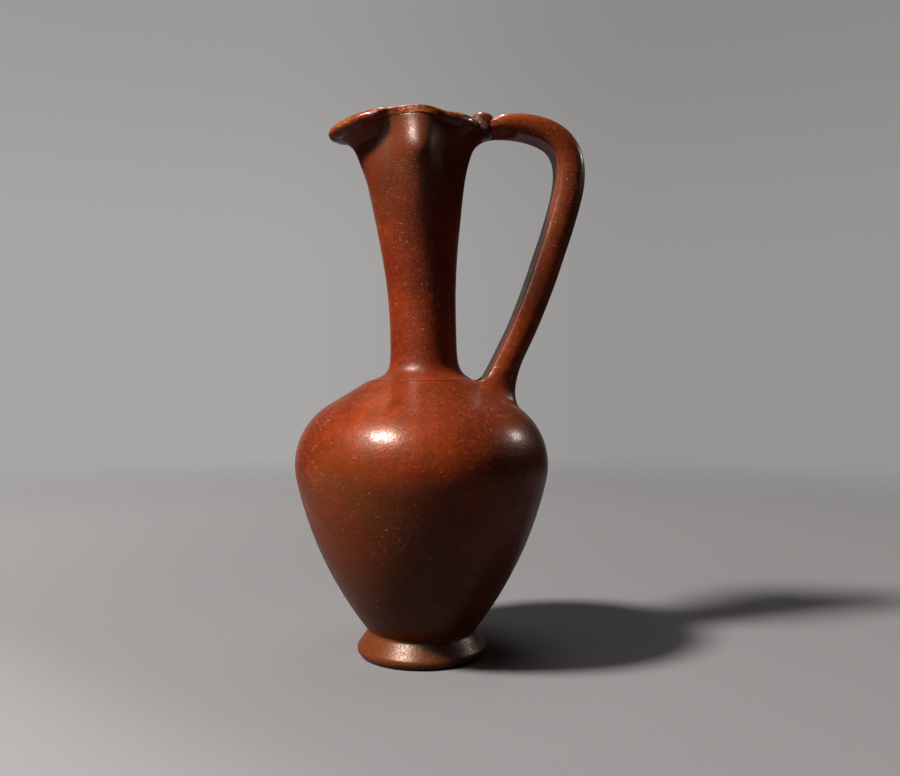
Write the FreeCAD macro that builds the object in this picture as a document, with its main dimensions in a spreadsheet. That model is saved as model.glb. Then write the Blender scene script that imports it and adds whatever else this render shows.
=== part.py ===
import FreeCAD, Part
import math
import os
import Sketcher
from FreeCAD import Vector

# A red-slipped earthenware pouring jug, in millimetres.
# The foot rests on Z = 0 round the origin, the handle points to +X and the spout to -X.

# Driving sizes, one sheet cell each
footSizes = {
    "footRadius": 31.0,          # widest part of the foot's rounded edge
    "cushionRadius": 3.0,        # round of that edge
    "footHeight": 12.2,          # up to the waist, where the body is luted on
    "waistRadius": 26.0,
    "recessRadius": 20.0,        # hollow under the foot, at the table
    "recessTopRadius": 17.0,     # and at the waist
}
bodySizes = {
    "bellyRadius": 60.4,
    "bellyHeight": 91.0,         # height of the widest ring
    "shoulderBend": 33.3,        # radius of the turn from belly to shoulder
    "flankAngle": 12.5,          # slope where the flank meets that turn
    "shoulderAngle": 31.4,       # pitch of the shoulder cone
    "bodyWall": 4.5,
    "bodyFloor": 6.0,
    "seamRadius": 26.0,          # ring on which the neck is luted
}
neckSizes = {
    "neckRadius": 16.05,         # narrowest
    "neckWall": 3.7,
    "throatHeight": 96.6,        # from the seam to where the mouth starts to open
    "neckLean": 3.4,             # how far the top stands towards the spout
}
mouthSizes = {
    "mouthRise": 25.2,           # from the throat to the pinched part of the rim
    "spoutReach": 37.9,          # rim distances from the leaning centre line
    "pinchReach": 25.2,
    "lobeReach": 29.3,
    "hipReach": 27.6,
    "backReach": 30.3,
    "spoutDrop": 6.1,            # how far each part of the rim lies below the pinches
    "lobeDrop": 1.9,
    "hipDrop": 2.8,
    "backDrop": 0.9,
    "lipRadius": 2.5,            # rolled bead along the rim
}
handleSizes = {
    "handleWidth": 15.6,
    "handleThickness": 12.7,
    "handleSet": 0.6,            # from the rim's back edge out to the sunk end of the handle
    "handleHang": 1.2,           # inner face of the level top run below the rim's back edge
    "handleBulge": 38.1,         # how far the inner face stands out from the line between its ends
    "rootSet": 0.7,              # from the neck's seam out to the sunk end at the shoulder
}
trimSizes = {
    "knobLength": 10.4,
    "knobWidth": 10.2,
    "knobHeight": 9.0,
    "knobSink": 3.0,             # part of its height below the bead's top
    "rootSpread": 4.0,           # luting clay round the handle's root
    "rootFeather": 0.3,          # its thickness at the upper edge
    "webWidth": 17.0,            # luting clay under the handle's top end
    "webLength": 15.0,
    "webDepth": 11.0,
    "webSet": 2.4,               # how far its hidden end stands inside the rim's back edge
    "webLean": 3.5,              # how much further in the foot of that end stands
    "webSink": 0.6,              # how far its top lies inside the handle
}

# Share tables, chosen by hand, of the sizes named beside them
neckRowShares = [                # height up the throat, radius of the neck, lean
    (0.000, 1.610, 0.00),
    (0.010, 1.450, -0.25),
    (0.030, 1.190, -0.42),
    (0.070, 1.045, -0.32),
    (0.130, 1.000, -0.25),
    (0.230, 0.995, -0.20),
    (0.350, 1.002, -0.08),
    (0.470, 1.035, 0.08),
    (0.590, 1.105, 0.26),
    (0.710, 1.200, 0.45),
    (0.820, 1.300, 0.62),
    (0.920, 1.395, 0.77),
    (1.000, 1.480, 0.88),
]
boreFlareShares = [1.00, 0.80, 0.42, 0.14, 0.02]    # bore opening out towards the body
mouthReachShares = {             # reach of three rows below the rim, share of the rim's
    "spout": (0.700, 0.775, 0.885),
    "pinch": (0.968, 0.976, 0.964),
    "lobe": (0.874, 0.942, 0.976),
    "hip": (0.905, 0.945, 0.965),
    "back": (0.840, 0.905, 0.966),
}
mouthRiseShares = {              # height of those rows, share of that rim's own rise
    "spout": (0.36, 0.80, 0.93),
    "pinch": (0.26, 0.54, 0.78),
    "lobe": (0.28, 0.55, 0.80),
    "hip": (0.29, 0.56, 0.80),
    "back": (0.28, 0.54, 0.79),
}
mouthTurns = [                   # degrees from the handle round to the spout
    (0.0, "back"),
    (46.0, "hip"),
    (92.0, "lobe"),
    (134.0, "pinch"),
    (180.0, "spout"),
]
lipShares = [                    # outward and onward from the seat, shares of the bead's radius
    (0.98, 0.02),
    (1.28, 0.42),
    (1.22, 1.18),
    (0.66, 1.80),
    (-0.10, 1.92),
    (-0.80, 1.66),
    (-1.18, 1.02),
    (-1.05, 0.36),
    (-0.80, 0.06),
]
strapShares = [                  # half of the strap's section: half width, thickness
    (0.00, 0.00),
    (0.46, 0.00),
    (0.76, -0.01),
    (0.88, 0.03),
    (1.02, 0.30),
    (1.01, 0.62),
    (0.82, 0.90),
    (0.44, 1.05),
    (0.00, 1.08),
]
handleRunShares = [              # inner face: bulge, drop, thickness, width
    (0.000, 0.010, 0.44, 1.00),
    (0.090, 0.006, 0.47, 1.00),
    (0.190, 0.001, 0.53, 1.00),
    (0.280, 0.000, 0.74, 0.98),
    (0.400, 0.000, 0.78, 0.98),
    (0.590, 0.006, 0.84, 0.98),
    (0.810, 0.026, 0.90, 1.00),
    (0.961, 0.060, 0.97, 1.02),
    (1.022, 0.125, 1.02, 1.03),
    (1.004, 0.205, 1.01, 1.02),
    (0.906, 0.320, 0.99, 1.00),
    (0.749, 0.470, 0.99, 0.98),
    (0.573, 0.630, 0.98, 0.97),
    (0.395, 0.765, 0.95, 0.98),
    (0.237, 0.865, 0.94, 1.00),
    (0.109, 0.940, 0.96, 1.03),
    (0.000, 1.000, 1.00, 1.06),
]
rootSinkShare = 0.95             # depth of the handle's end in the shoulder, share of the wall
rootRowShares = [                # place along the root rows of the run, spread
    (0.00, 0.00),
    (0.20, 0.03),
    (0.42, 0.12),
    (0.62, 0.34),
    (0.80, 0.68),
    (1.00, 1.00),
]
webRowShares = [                 # place along the web, its depth, its width
    (0.00, 1.00, 1.14),
    (0.22, 0.78, 1.06),
    (0.44, 0.46, 1.00),
    (0.68, 0.24, 0.94),
    (1.00, 0.10, 0.88),
]
tuckShare = 0.2                  # clay on the root's inner face, share of that on its outer face
rootSteps = 3                    # steps of the handle's run that the root clay covers
rimPoles = 36
rowDegree = 3

doc = FreeCAD.newDocument("Jug")
sheet = doc.addObject("Spreadsheet::Sheet", "Sizes")


def fillSheet():
    row = 1
    for group in (footSizes, bodySizes, neckSizes, mouthSizes, handleSizes, trimSizes):
        for name, value in group.items():
            sheet.set("A%d" % row, name)
            sheet.set("B%d" % row, str(value))
            sheet.setAlias("B%d" % row, name)
            row += 1
    doc.recompute()


def size(name):
    return float(sheet.get(name))


def originPlane(body, role):
    for feature in body.Origin.OriginFeatures:
        if feature.Role == role:
            return feature
    raise RuntimeError("no plane " + role)


def newProfile(label):
    body = doc.addObject("PartDesign::Body", label)
    body.Label = label
    sketch = body.newObject("Sketcher::SketchObject", label + "Profile")
    sketch.AttachmentSupport = [(originPlane(body, "XZ_Plane"), "")]
    sketch.MapMode = "FlatFace"
    return body, sketch


def spin(body, sketch):
    turn = body.newObject("PartDesign::Revolution", sketch.Name + "Turn")
    turn.Profile = sketch
    turn.ReferenceAxis = (sketch, ["V_Axis"])
    turn.Angle = 360.0
    sketch.Visibility = False
    body.Tip = turn
    doc.recompute()
    return body


def line(sketch, start, end):
    return sketch.addGeometry(Part.LineSegment(Vector(*start, 0), Vector(*end, 0)), False)


def arc(sketch, centre, radius, start, end):
    circle = Part.Circle(Vector(*centre, 0), Vector(0, 0, 1), radius)
    return sketch.addGeometry(Part.ArcOfCircle(circle, start, end), False)


def join(sketch, kind, first, firstEnd, second, secondEnd):
    sketch.addConstraint(Sketcher.Constraint(kind, first, firstEnd, second, secondEnd))


def bind(sketch, kind, target, value, formula):
    index = sketch.addConstraint(Sketcher.Constraint(kind, *target, value))
    sketch.setExpression("Constraints[%d]" % index, formula)


def polar(centre, radius, angle):
    return (centre[0] + radius * math.cos(angle), centre[1] + radius * math.sin(angle))


# Foot: a thrown ring with a rounded edge and a cove up to the waist
def makeFoot():
    body, sketch = newProfile("foot")
    cushion = size("cushionRadius")
    rest = size("footRadius") - cushion
    waist = size("waistRadius")
    top = size("footHeight")
    # The cove is level with the waist and touches the rounded edge from outside
    rise = top - cushion
    step = rest - waist
    cove = (step ** 2 + rise ** 2 - cushion ** 2) / (2 * (step + cushion))
    coveCentre = (waist + cove, top)
    edgeCentre = (rest, cushion)
    meet = math.atan2(top - cushion, coveCentre[0] - rest)
    floorLine = line(sketch, (size("recessRadius"), 0), (rest, 0))
    edge = arc(sketch, edgeCentre, cushion, -math.pi / 2, meet)
    coveArc = arc(sketch, coveCentre, cove, math.pi, math.pi + meet)
    topLine = line(sketch, (waist, top), (size("recessTopRadius"), top))
    recess = line(sketch, (size("recessTopRadius"), top), (size("recessRadius"), 0))
    join(sketch, "Tangent", floorLine, 2, edge, 1)
    join(sketch, "Tangent", edge, 2, coveArc, 2)
    join(sketch, "Coincident", coveArc, 1, topLine, 1)
    join(sketch, "Coincident", topLine, 2, recess, 1)
    join(sketch, "Coincident", recess, 2, floorLine, 1)
    sketch.addConstraint(Sketcher.Constraint("Horizontal", floorLine))
    sketch.addConstraint(Sketcher.Constraint("Horizontal", topLine))
    sketch.addConstraint(Sketcher.Constraint("Horizontal", coveArc, 3, coveArc, 1))
    sketch.addConstraint(Sketcher.Constraint("PointOnObject", floorLine, 1, -1))
    bind(sketch, "Radius", (edge,), cushion, "Sizes.cushionRadius")
    bind(sketch, "DistanceX", (edge, 3), rest, "Sizes.footRadius - Sizes.cushionRadius")
    bind(sketch, "DistanceX", (floorLine, 1), size("recessRadius"), "Sizes.recessRadius")
    bind(sketch, "DistanceX", (topLine, 1), waist, "Sizes.waistRadius")
    bind(sketch, "DistanceX", (topLine, 2), size("recessTopRadius"), "Sizes.recessTopRadius")
    bind(sketch, "DistanceY", (topLine, 1), top, "Sizes.footHeight")
    return spin(body, sketch)


# Centres and joints of the body's outline, all worked out from its named sizes
def bodyOutline():
    waist = (size("waistRadius"), size("footHeight"))
    bend = size("shoulderBend")
    flankTurn = math.radians(size("flankAngle"))
    pitch = math.radians(size("shoulderAngle"))
    bendCentre = (size("bellyRadius") - bend, size("bellyHeight"))
    flankEnd = polar(bendCentre, bend, -flankTurn)
    coneStart = polar(bendCentre, bend, math.pi / 2 - pitch)
    inward = (math.cos(flankTurn), -math.sin(flankTurn))
    run = (flankEnd[0] - waist[0], flankEnd[1] - waist[1])
    flank = (run[0] ** 2 + run[1] ** 2) / (2 * (run[0] * inward[0] + run[1] * inward[1]))
    flankCentre = (flankEnd[0] - flank * inward[0], flankEnd[1] - flank * inward[1])
    seam = size("seamRadius")
    seamHeight = coneStart[1] + (coneStart[0] - seam) * math.tan(pitch)
    opening = seam - size("bodyWall") / math.sin(pitch)
    return {
        "waist": waist, "bend": bend, "bendCentre": bendCentre, "flank": flank,
        "flankCentre": flankCentre, "flankTurn": flankTurn, "pitch": pitch,
        "seam": seam, "seamHeight": seamHeight, "opening": opening,
    }


# Body: thrown as one hollow ovoid, closed by its floor and open at the seam
def makeBody():
    body, sketch = newProfile("body")
    shape = bodyOutline()
    wall = size("bodyWall")
    waist = shape["waist"]
    centre = shape["bendCentre"]
    flankCentre = shape["flankCentre"]
    turn = -shape["flankTurn"]
    crown = math.pi / 2 - shape["pitch"]
    inside = size("footHeight") + size("bodyFloor")
    waistTurn = math.atan2(waist[1] - flankCentre[1], waist[0] - flankCentre[0])
    innerFlank = shape["flank"] - wall
    floorTurn = math.asin((inside - flankCentre[1]) / innerFlank)
    floorEnd = polar(flankCentre, innerFlank, floorTurn)
    top = shape["seamHeight"]
    base = line(sketch, (0, waist[1]), waist)
    flank = arc(sketch, flankCentre, shape["flank"], waistTurn, turn)
    bend = arc(sketch, centre, shape["bend"], turn, crown)
    cone = line(sketch, polar(centre, shape["bend"], crown), (shape["seam"], top))
    ring = line(sketch, (shape["seam"], top), (shape["opening"], top))
    coneIn = line(sketch, (shape["opening"], top), polar(centre, shape["bend"] - wall, crown))
    bendIn = arc(sketch, centre, shape["bend"] - wall, turn, crown)
    flankIn = arc(sketch, flankCentre, innerFlank, floorTurn, turn)
    floorLine = line(sketch, floorEnd, (0, inside))
    axis = line(sketch, (0, inside), (0, waist[1]))
    join(sketch, "Coincident", base, 2, flank, 1)
    join(sketch, "Tangent", flank, 2, bend, 1)
    join(sketch, "Tangent", bend, 2, cone, 1)
    join(sketch, "Coincident", cone, 2, ring, 1)
    join(sketch, "Coincident", ring, 2, coneIn, 1)
    join(sketch, "Tangent", coneIn, 2, bendIn, 2)
    join(sketch, "Tangent", bendIn, 1, flankIn, 2)
    join(sketch, "Coincident", flankIn, 1, floorLine, 1)
    join(sketch, "Coincident", floorLine, 2, axis, 1)
    join(sketch, "Coincident", axis, 2, base, 1)
    join(sketch, "Coincident", bend, 3, bendIn, 3)
    join(sketch, "Coincident", flank, 3, flankIn, 3)
    for level in (base, ring, floorLine):
        sketch.addConstraint(Sketcher.Constraint("Horizontal", level))
    sketch.addConstraint(Sketcher.Constraint("PointOnObject", axis, 1, -2))
    sketch.addConstraint(Sketcher.Constraint("PointOnObject", axis, 2, -2))
    bind(sketch, "DistanceX", (base, 2), waist[0], "Sizes.waistRadius")
    bind(sketch, "DistanceY", (base, 2), waist[1], "Sizes.footHeight")
    bind(sketch, "Radius", (bend,), shape["bend"], "Sizes.shoulderBend")
    bind(sketch, "Radius", (bendIn,), shape["bend"] - wall, "Sizes.shoulderBend - Sizes.bodyWall")
    bind(sketch, "DistanceX", (bend, 3), centre[0], "Sizes.bellyRadius - Sizes.shoulderBend")
    bind(sketch, "DistanceY", (bend, 3), centre[1], "Sizes.bellyHeight")
    bind(sketch, "DistanceY", (flank, 2, bend, 3), shape["bend"] * math.sin(-turn),
         "Sizes.shoulderBend * sin(Sizes.flankAngle * 1deg)")
    bind(sketch, "DistanceX", (bend, 3, bend, 2), shape["bend"] * math.cos(crown),
         "Sizes.shoulderBend * sin(Sizes.shoulderAngle * 1deg)")
    bind(sketch, "DistanceX", (cone, 2), shape["seam"], "Sizes.seamRadius")
    bind(sketch, "DistanceY", (floorLine, 2), inside, "Sizes.footHeight + Sizes.bodyFloor")
    return spin(body, sketch)


# Smooth skin over rows of poles: each row closed round, the rows clamped at both ends
def skin(rows, degree):
    around = len(rows[0])
    count = len(rows)
    poles = [[rows[j][i] for j in range(count)] for i in range(around)]
    inner = count - degree - 1
    rowKnots = [float(k) for k in range(inner + 2)]
    rowMults = [degree + 1] + [1] * inner + [degree + 1]
    surface = Part.BSplineSurface()
    surface.buildFromPolesMultsKnots(
        poles, [1] * (around + 1), rowMults, [float(k) for k in range(around + 1)],
        rowKnots, True, False, rowDegree, degree)
    return surface.toShape()


def closeUp(faces):
    shell = Part.Shell(faces)
    shell.sewShape()
    solid = Part.Solid(shell)
    if solid.Volume < 0:
        solid.reverse()
    return solid


# A cubic curve through poles on a circle runs inside them by this factor
def poleGain(count):
    return 6.0 / (4.0 + 2.0 * math.cos(2 * math.pi / count))


def holdShape(label, shape):
    feature = doc.addObject("Part::Feature", label)
    feature.Label = label
    feature.Shape = shape
    feature.Placement = FreeCAD.Placement()
    return feature


# Neighbouring named parts of the rim and how far the turn lies between them
def rimBlend(turn):
    folded = abs((turn + 180.0) % 360.0 - 180.0)
    for (startTurn, start), (endTurn, end) in zip(mouthTurns, mouthTurns[1:]):
        if folded <= endTurn:
            share = (folded - startTurn) / (endTurn - startTurn)
            return start, end, (1 - math.cos(math.pi * share)) / 2
    return start, end, 1.0


def mouthColumn(part):
    reach = size(part + "Reach")
    rise = size("mouthRise")
    if part != "pinch":
        rise -= size(part + "Drop")
    column = []
    for reachShare, riseShare in zip(mouthReachShares[part], mouthRiseShares[part]):
        column.append((reach * reachShare, rise * riseShare))
    column.append((reach, rise))
    return column


def rimHeight(part):
    return bodyOutline()["seamHeight"] + size("throatHeight") + mouthColumn(part)[-1][1]


# Outer poles of the neck and mouth, as (reach, height, lean) columns round the rim
def neckColumns():
    gain = poleGain(rimPoles)
    seamHeight = bodyOutline()["seamHeight"]
    throat = size("throatHeight")
    columns = []
    for index in range(rimPoles):
        turn = 360.0 * index / rimPoles
        start, end, share = rimBlend(turn)
        column = []
        for heightShare, radiusShare, leanShare in neckRowShares:
            radius = size("neckRadius") * radiusShare
            if heightShare == 0:
                radius = size("seamRadius")
            column.append((radius * gain, seamHeight + throat * heightShare,
                           -size("neckLean") * leanShare))
        for first, second in zip(mouthColumn(start), mouthColumn(end)):
            reach = first[0] + (second[0] - first[0]) * share
            rise = first[1] + (second[1] - first[1]) * share
            column.append((reach * gain, seamHeight + throat + rise, -size("neckLean")))
        columns.append((math.radians(turn), column))
    return columns


def inwardOf(column, row):
    below = column[max(row - 1, 0)]
    above = column[min(row + 1, len(column) - 1)]
    run = (above[0] - below[0], above[1] - below[1])
    length = math.hypot(*run)
    return (-run[1] / length, run[0] / length)


# The bore opens out to the body's own opening at the seam and follows the wall above
def boreColumn(column):
    gain = poleGain(rimPoles)
    wall = size("neckWall")
    opening = bodyOutline()["opening"]
    bore = size("neckRadius") - wall
    inner = []
    for row, (reach, height, lean) in enumerate(column):
        if row < len(boreFlareShares):
            inner.append(((bore + (opening - bore) * boreFlareShares[row]) * gain, height, lean))
        else:
            inward = inwardOf(column, row)
            inner.append((reach + wall * inward[0], height + wall * inward[1], lean))
    return inner


def place(angle, point):
    reach, height, lean = point
    return Vector(lean + reach * math.cos(angle), reach * math.sin(angle), height)


def rowsOf(columns):
    count = len(columns[0][1])
    return [[place(angle, column[row]) for angle, column in columns] for row in range(count)]


# Neck: one thrown tube with the pulled and pinched mouth, its rim cut square to the wall
def makeNeck(outer, inner):
    outerRows = rowsOf(outer)
    innerRows = rowsOf(inner)
    faces = [
        skin(outerRows, rowDegree),
        skin(innerRows, rowDegree),
        skin([outerRows[0], innerRows[0]], 1),
        skin([outerRows[-1], innerRows[-1]], 1),
    ]
    return holdShape("neck", closeUp(faces))


# Lip: a rolled bead that sits on the rim's square edge all the way round
def makeLip(outer, inner):
    bead = size("lipRadius")
    columns = []
    for (angle, column), (_, bore) in zip(outer, inner):
        edge = column[-1]
        inside = bore[-1]
        middle = ((edge[0] + inside[0]) / 2, (edge[1] + inside[1]) / 2)
        inward = inwardOf(column, len(column) - 1)
        onward = (inward[1], -inward[0])
        section = [edge]
        for outShare, onShare in lipShares:
            section.append((middle[0] + bead * (onward[0] * onShare - inward[0] * outShare),
                            middle[1] + bead * (onward[1] * onShare - inward[1] * outShare),
                            edge[2]))
        section.append(inside)
        columns.append((angle, section))
    rows = rowsOf(columns)
    faces = [skin(rows, rowDegree), skin([rows[0], rows[-1]], 1)]
    return holdShape("lip", closeUp(faces))


def handleTop():
    return rimHeight("back") - size("handleHang")


# Inner face of the strap, as (place, thickness, width) along its run from rim to shoulder
def handleRun():
    shape = bodyOutline()
    start = size("backReach") - size("neckLean") + size("handleSet")
    end = shape["seam"] + size("rootSet")
    top = handleTop()
    drop = top - shape["seamHeight"] + size("bodyWall") * rootSinkShare
    run = []
    for bulgeShare, dropShare, thickShare, widthShare in handleRunShares:
        spot = (start + (end - start) * dropShare + size("handleBulge") * bulgeShare,
                top - drop * dropShare)
        run.append((spot, size("handleThickness") * thickShare,
                    size("handleWidth") * widthShare / 2))
    return run


def strapRow(run, row, spread):
    (spot, thickness, halfWidth) = run[row]
    before = run[max(row - 1, 0)][0]
    after = run[min(row + 1, len(run) - 1)][0]
    length = math.hypot(after[0] - before[0], after[1] - before[1])
    out = (-(after[1] - before[1]) / length, (after[0] - before[0]) / length)
    half = len(strapShares) - 1
    poles = []
    for index in range(2 * half):
        side = 1.0
        step = index
        if index > half:
            side = -1.0
            step = 2 * half - index
        widthShare, thickShare = strapShares[step]
        up = thickness * thickShare + spread * (thickShare - tuckShare * (1 - thickShare))
        across = side * widthShare * (halfWidth + spread)
        poles.append(Vector(spot[0] + out[0] * up, across, spot[1] + out[1] * up))
    return poles


def capped(rows):
    side = skin(rows, rowDegree)
    ends = []
    for row in (rows[0], rows[-1]):
        curve = Part.BSplineCurve()
        curve.buildFromPolesMultsKnots(
            row, [1] * (len(row) + 1), [float(k) for k in range(len(row) + 1)], True, rowDegree)
        ends.append(Part.Face(Part.Wire([curve.toShape()])))
    return closeUp([side] + ends)


def cutAll(label, blank, tools):
    current = blank
    for number, tool in enumerate(tools):
        cut = doc.addObject("Part::Cut", "%sCut%d" % (label, number))
        cut.Base = current
        cut.Tool = tool
        current = cut
    current.Label = label
    doc.recompute()
    return current


# Handle: a pulled strap, flat inside and round outside, luted to rim and shoulder
def makeHandle(tools):
    run = handleRun()
    rows = [strapRow(run, row, 0) for row in range(len(run))]
    return cutAll("handle", holdShape("HandleBlank", capped(rows)), tools)


# Rows along the last part of the run, for the clay pressed round the root
def makeRootWad(tools):
    run = handleRun()
    last = len(run) - 1
    rows = []
    for alongShare, spreadShare in rootRowShares:
        along = last - rootSteps * (1 - alongShare)
        low = min(int(along), last - 1)
        spread = size("rootFeather") + size("rootSpread") * spreadShare
        start = strapRow(run, low, spread)
        end = strapRow(run, low + 1, spread)
        rows.append([a + (b - a) * (along - low) for a, b in zip(start, end)])
    return cutAll("handle_root_wad", holdShape("RootBlank", capped(rows)), tools)


# Web of clay pressed into the corner between the rim's back and the handle's underside
def makeTopWad(tools):
    start = size("backReach") - size("neckLean") - size("webSet")
    top = handleTop() + size("webSink")
    half = len(strapShares) - 1
    rows = []
    for alongShare, depthShare, widthShare in webRowShares:
        row = []
        for index in range(2 * half):
            side = 1.0
            step = index
            if index > half:
                side = -1.0
                step = 2 * half - index
            across, down = strapShares[step]
            lean = size("webLean") * down * (1 - alongShare)
            row.append(Vector(start + size("webLength") * alongShare - lean,
                              -side * across * size("webWidth") * widthShare / 2,
                              top - size("webDepth") * depthShare * down))
        rows.append(row)
    return cutAll("handle_top_wad", holdShape("WebBlank", capped(rows)), tools)


# Knob: a pellet of clay pressed on the rim's back edge, over the handle's end
def makeKnob(tools):
    beadTop = rimHeight("back") + 2 * size("lipRadius")
    reach = size("knobLength") / 2
    pellet = doc.addObject("Part::Ellipsoid", "KnobBlank")
    pellet.setExpression("Radius1", "Sizes.knobHeight / 2")
    pellet.setExpression("Radius2", "Sizes.knobLength / 2")
    pellet.setExpression("Radius3", "Sizes.knobWidth / 2")
    pellet.Placement.Base = Vector(
        size("backReach") - size("neckLean") - size("lipRadius") + reach, 0,
        beadTop + size("knobHeight") / 2 - size("knobSink"))
    doc.recompute()
    return cutAll("rim_knob", pellet, tools)


def check(parts):
    for feature in doc.Objects:
        if "Invalid" in feature.State or "Error" in feature.State:
            raise RuntimeError("%s failed: %s" % (feature.Name, feature.State))
    for label, feature in parts.items():
        shape = feature.Shape
        if shape.isNull() or not shape.isValid():
            raise RuntimeError("bad shape " + label)
        if len(shape.Solids) != 1:
            raise RuntimeError("%s has %d solids" % (label, len(shape.Solids)))
        box = shape.BoundBox
        print("%-16s volume %9.1f  x %6.1f %6.1f  y %6.1f %6.1f  z %6.1f %6.1f" % (
            label, shape.Volume, box.XMin, box.XMax, box.YMin, box.YMax, box.ZMin, box.ZMax))


fillSheet()
foot = makeFoot()
jugBody = makeBody()
outerColumns = neckColumns()
innerColumns = [(angle, boreColumn(column)) for angle, column in outerColumns]
neck = makeNeck(outerColumns, innerColumns)
lip = makeLip(outerColumns, innerColumns)
handle = makeHandle([jugBody, neck, lip])
knob = makeKnob([neck, lip, handle])
topWad = makeTopWad([neck, lip, handle, knob])
rootWad = makeRootWad([jugBody, neck, handle])
subparts = {
    "foot": foot,
    "body": jugBody,
    "neck": neck,
    "lip": lip,
    "handle": handle,
    "rim_knob": knob,
    "handle_top_wad": topWad,
    "handle_root_wad": rootWad,
}
doc.recompute()
check(subparts)
os.makedirs("parts", exist_ok=True)
for name, feature in subparts.items():
    feature.Shape.exportStep("parts/%s.step" % name)
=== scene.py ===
import bmesh
import bpy
import math
import numpy as np
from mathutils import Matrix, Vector, noise
from mathutils.bvhtree import BVHTree


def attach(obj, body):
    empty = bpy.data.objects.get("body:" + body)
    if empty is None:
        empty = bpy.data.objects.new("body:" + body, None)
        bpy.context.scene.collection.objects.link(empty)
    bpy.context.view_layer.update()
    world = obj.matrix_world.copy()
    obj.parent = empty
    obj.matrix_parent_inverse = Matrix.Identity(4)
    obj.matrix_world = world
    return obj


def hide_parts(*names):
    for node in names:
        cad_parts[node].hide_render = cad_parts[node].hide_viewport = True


# A burnished red-slipped jug with a lobed mouth. Sizes are in millimetres, the mesh is in metres,
# the handle points to +X and the spout to -X.

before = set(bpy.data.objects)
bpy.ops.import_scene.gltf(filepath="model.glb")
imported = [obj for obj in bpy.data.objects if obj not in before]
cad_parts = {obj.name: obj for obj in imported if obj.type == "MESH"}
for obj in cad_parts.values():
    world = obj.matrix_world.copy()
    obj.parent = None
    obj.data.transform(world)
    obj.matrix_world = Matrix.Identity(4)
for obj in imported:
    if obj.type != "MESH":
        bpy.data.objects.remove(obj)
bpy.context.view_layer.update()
mm = 0.001


def addPiece(name, points, faces, edges=()):
    mesh = bpy.data.meshes.new(name)
    mesh.from_pydata([tuple(p) for p in points], edges, faces)
    mesh.update()
    return addObject(name, mesh)


def addObject(name, data):
    item = bpy.data.objects.new(name, data)
    bpy.context.scene.collection.objects.link(item)
    return item


def feed(tree, socket, value):
    if isinstance(value, bpy.types.NodeSocket):
        tree.links.new(value, socket)
    else:
        socket.default_value = (*value, 1) if socket.type == "RGBA" else value


def node(tree, kind, inputs=None, **settings):
    made = tree.nodes.new(kind)
    for key, value in settings.items():
        setattr(made, key, value)
    for key, value in (inputs or {}).items():
        feed(tree, made.inputs[key], value)
    return made


def calc(tree, operation, *values):
    made = node(tree, "ShaderNodeMath", operation=operation)
    for index, value in enumerate(values):
        feed(tree, made.inputs[index], value)
    return made.outputs[0]


# A noise's value made to swing about zero
def swing(tree, value, amount):
    return calc(tree, "MULTIPLY", calc(tree, "SUBTRACT", value, 0.5), amount)


def split(tree, value):
    return node(tree, "ShaderNodeSeparateXYZ", {0: value}).outputs


def vector(tree, operation, *values):
    made = node(tree, "ShaderNodeVectorMath", operation=operation)
    for index, value in enumerate(values):
        target = made.inputs["Scale"] if operation == "SCALE" and index == 1 else made.inputs[index]
        feed(tree, target, value)
    return made.outputs["Value" if operation in ("DOT_PRODUCT", "LENGTH", "DISTANCE") else "Vector"]


def newGroup(name, kind, inputs, outputs):
    tree = bpy.data.node_groups.new(name, kind)
    for label, socketType, value in inputs:
        socket = tree.interface.new_socket(label, in_out="INPUT", socket_type=socketType)
        if value is not None:
            socket.default_value = value
    for label, socketType in outputs:
        tree.interface.new_socket(label, in_out="OUTPUT", socket_type=socketType)
    given = tree.nodes.new("NodeGroupInput").outputs
    result = tree.nodes.new("NodeGroupOutput").inputs
    return tree, given, result


# Runs a tree on a host and keeps the result as a plain mesh
def grow(name, host, tree, values):
    modifier = host.modifiers.new(tree.name, "NODES")
    modifier.node_group = tree
    for item in tree.interface.items_tree:
        if item.in_out == "INPUT" and item.name in values:
            modifier[item.identifier] = values[item.name]
    bpy.context.view_layer.update()
    evaluated = host.evaluated_get(bpy.context.evaluated_depsgraph_get())
    mesh = bpy.data.meshes.new_from_object(evaluated)
    host.modifiers.clear()
    bpy.data.objects.remove(host)
    mesh.name = name
    return addObject(name, mesh)


def seat(piece, nodeName):
    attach(piece, "root")
    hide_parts(nodeName)
    solid = bmesh.new()
    solid.from_mesh(piece.data)
    volume = solid.calc_volume(signed=True) * 1e6
    solid.free()
    faces = len(piece.data.polygons)
    print("piece", piece.name, "-", faces, "faces,", round(volume, 2), "ml of clay")


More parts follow.
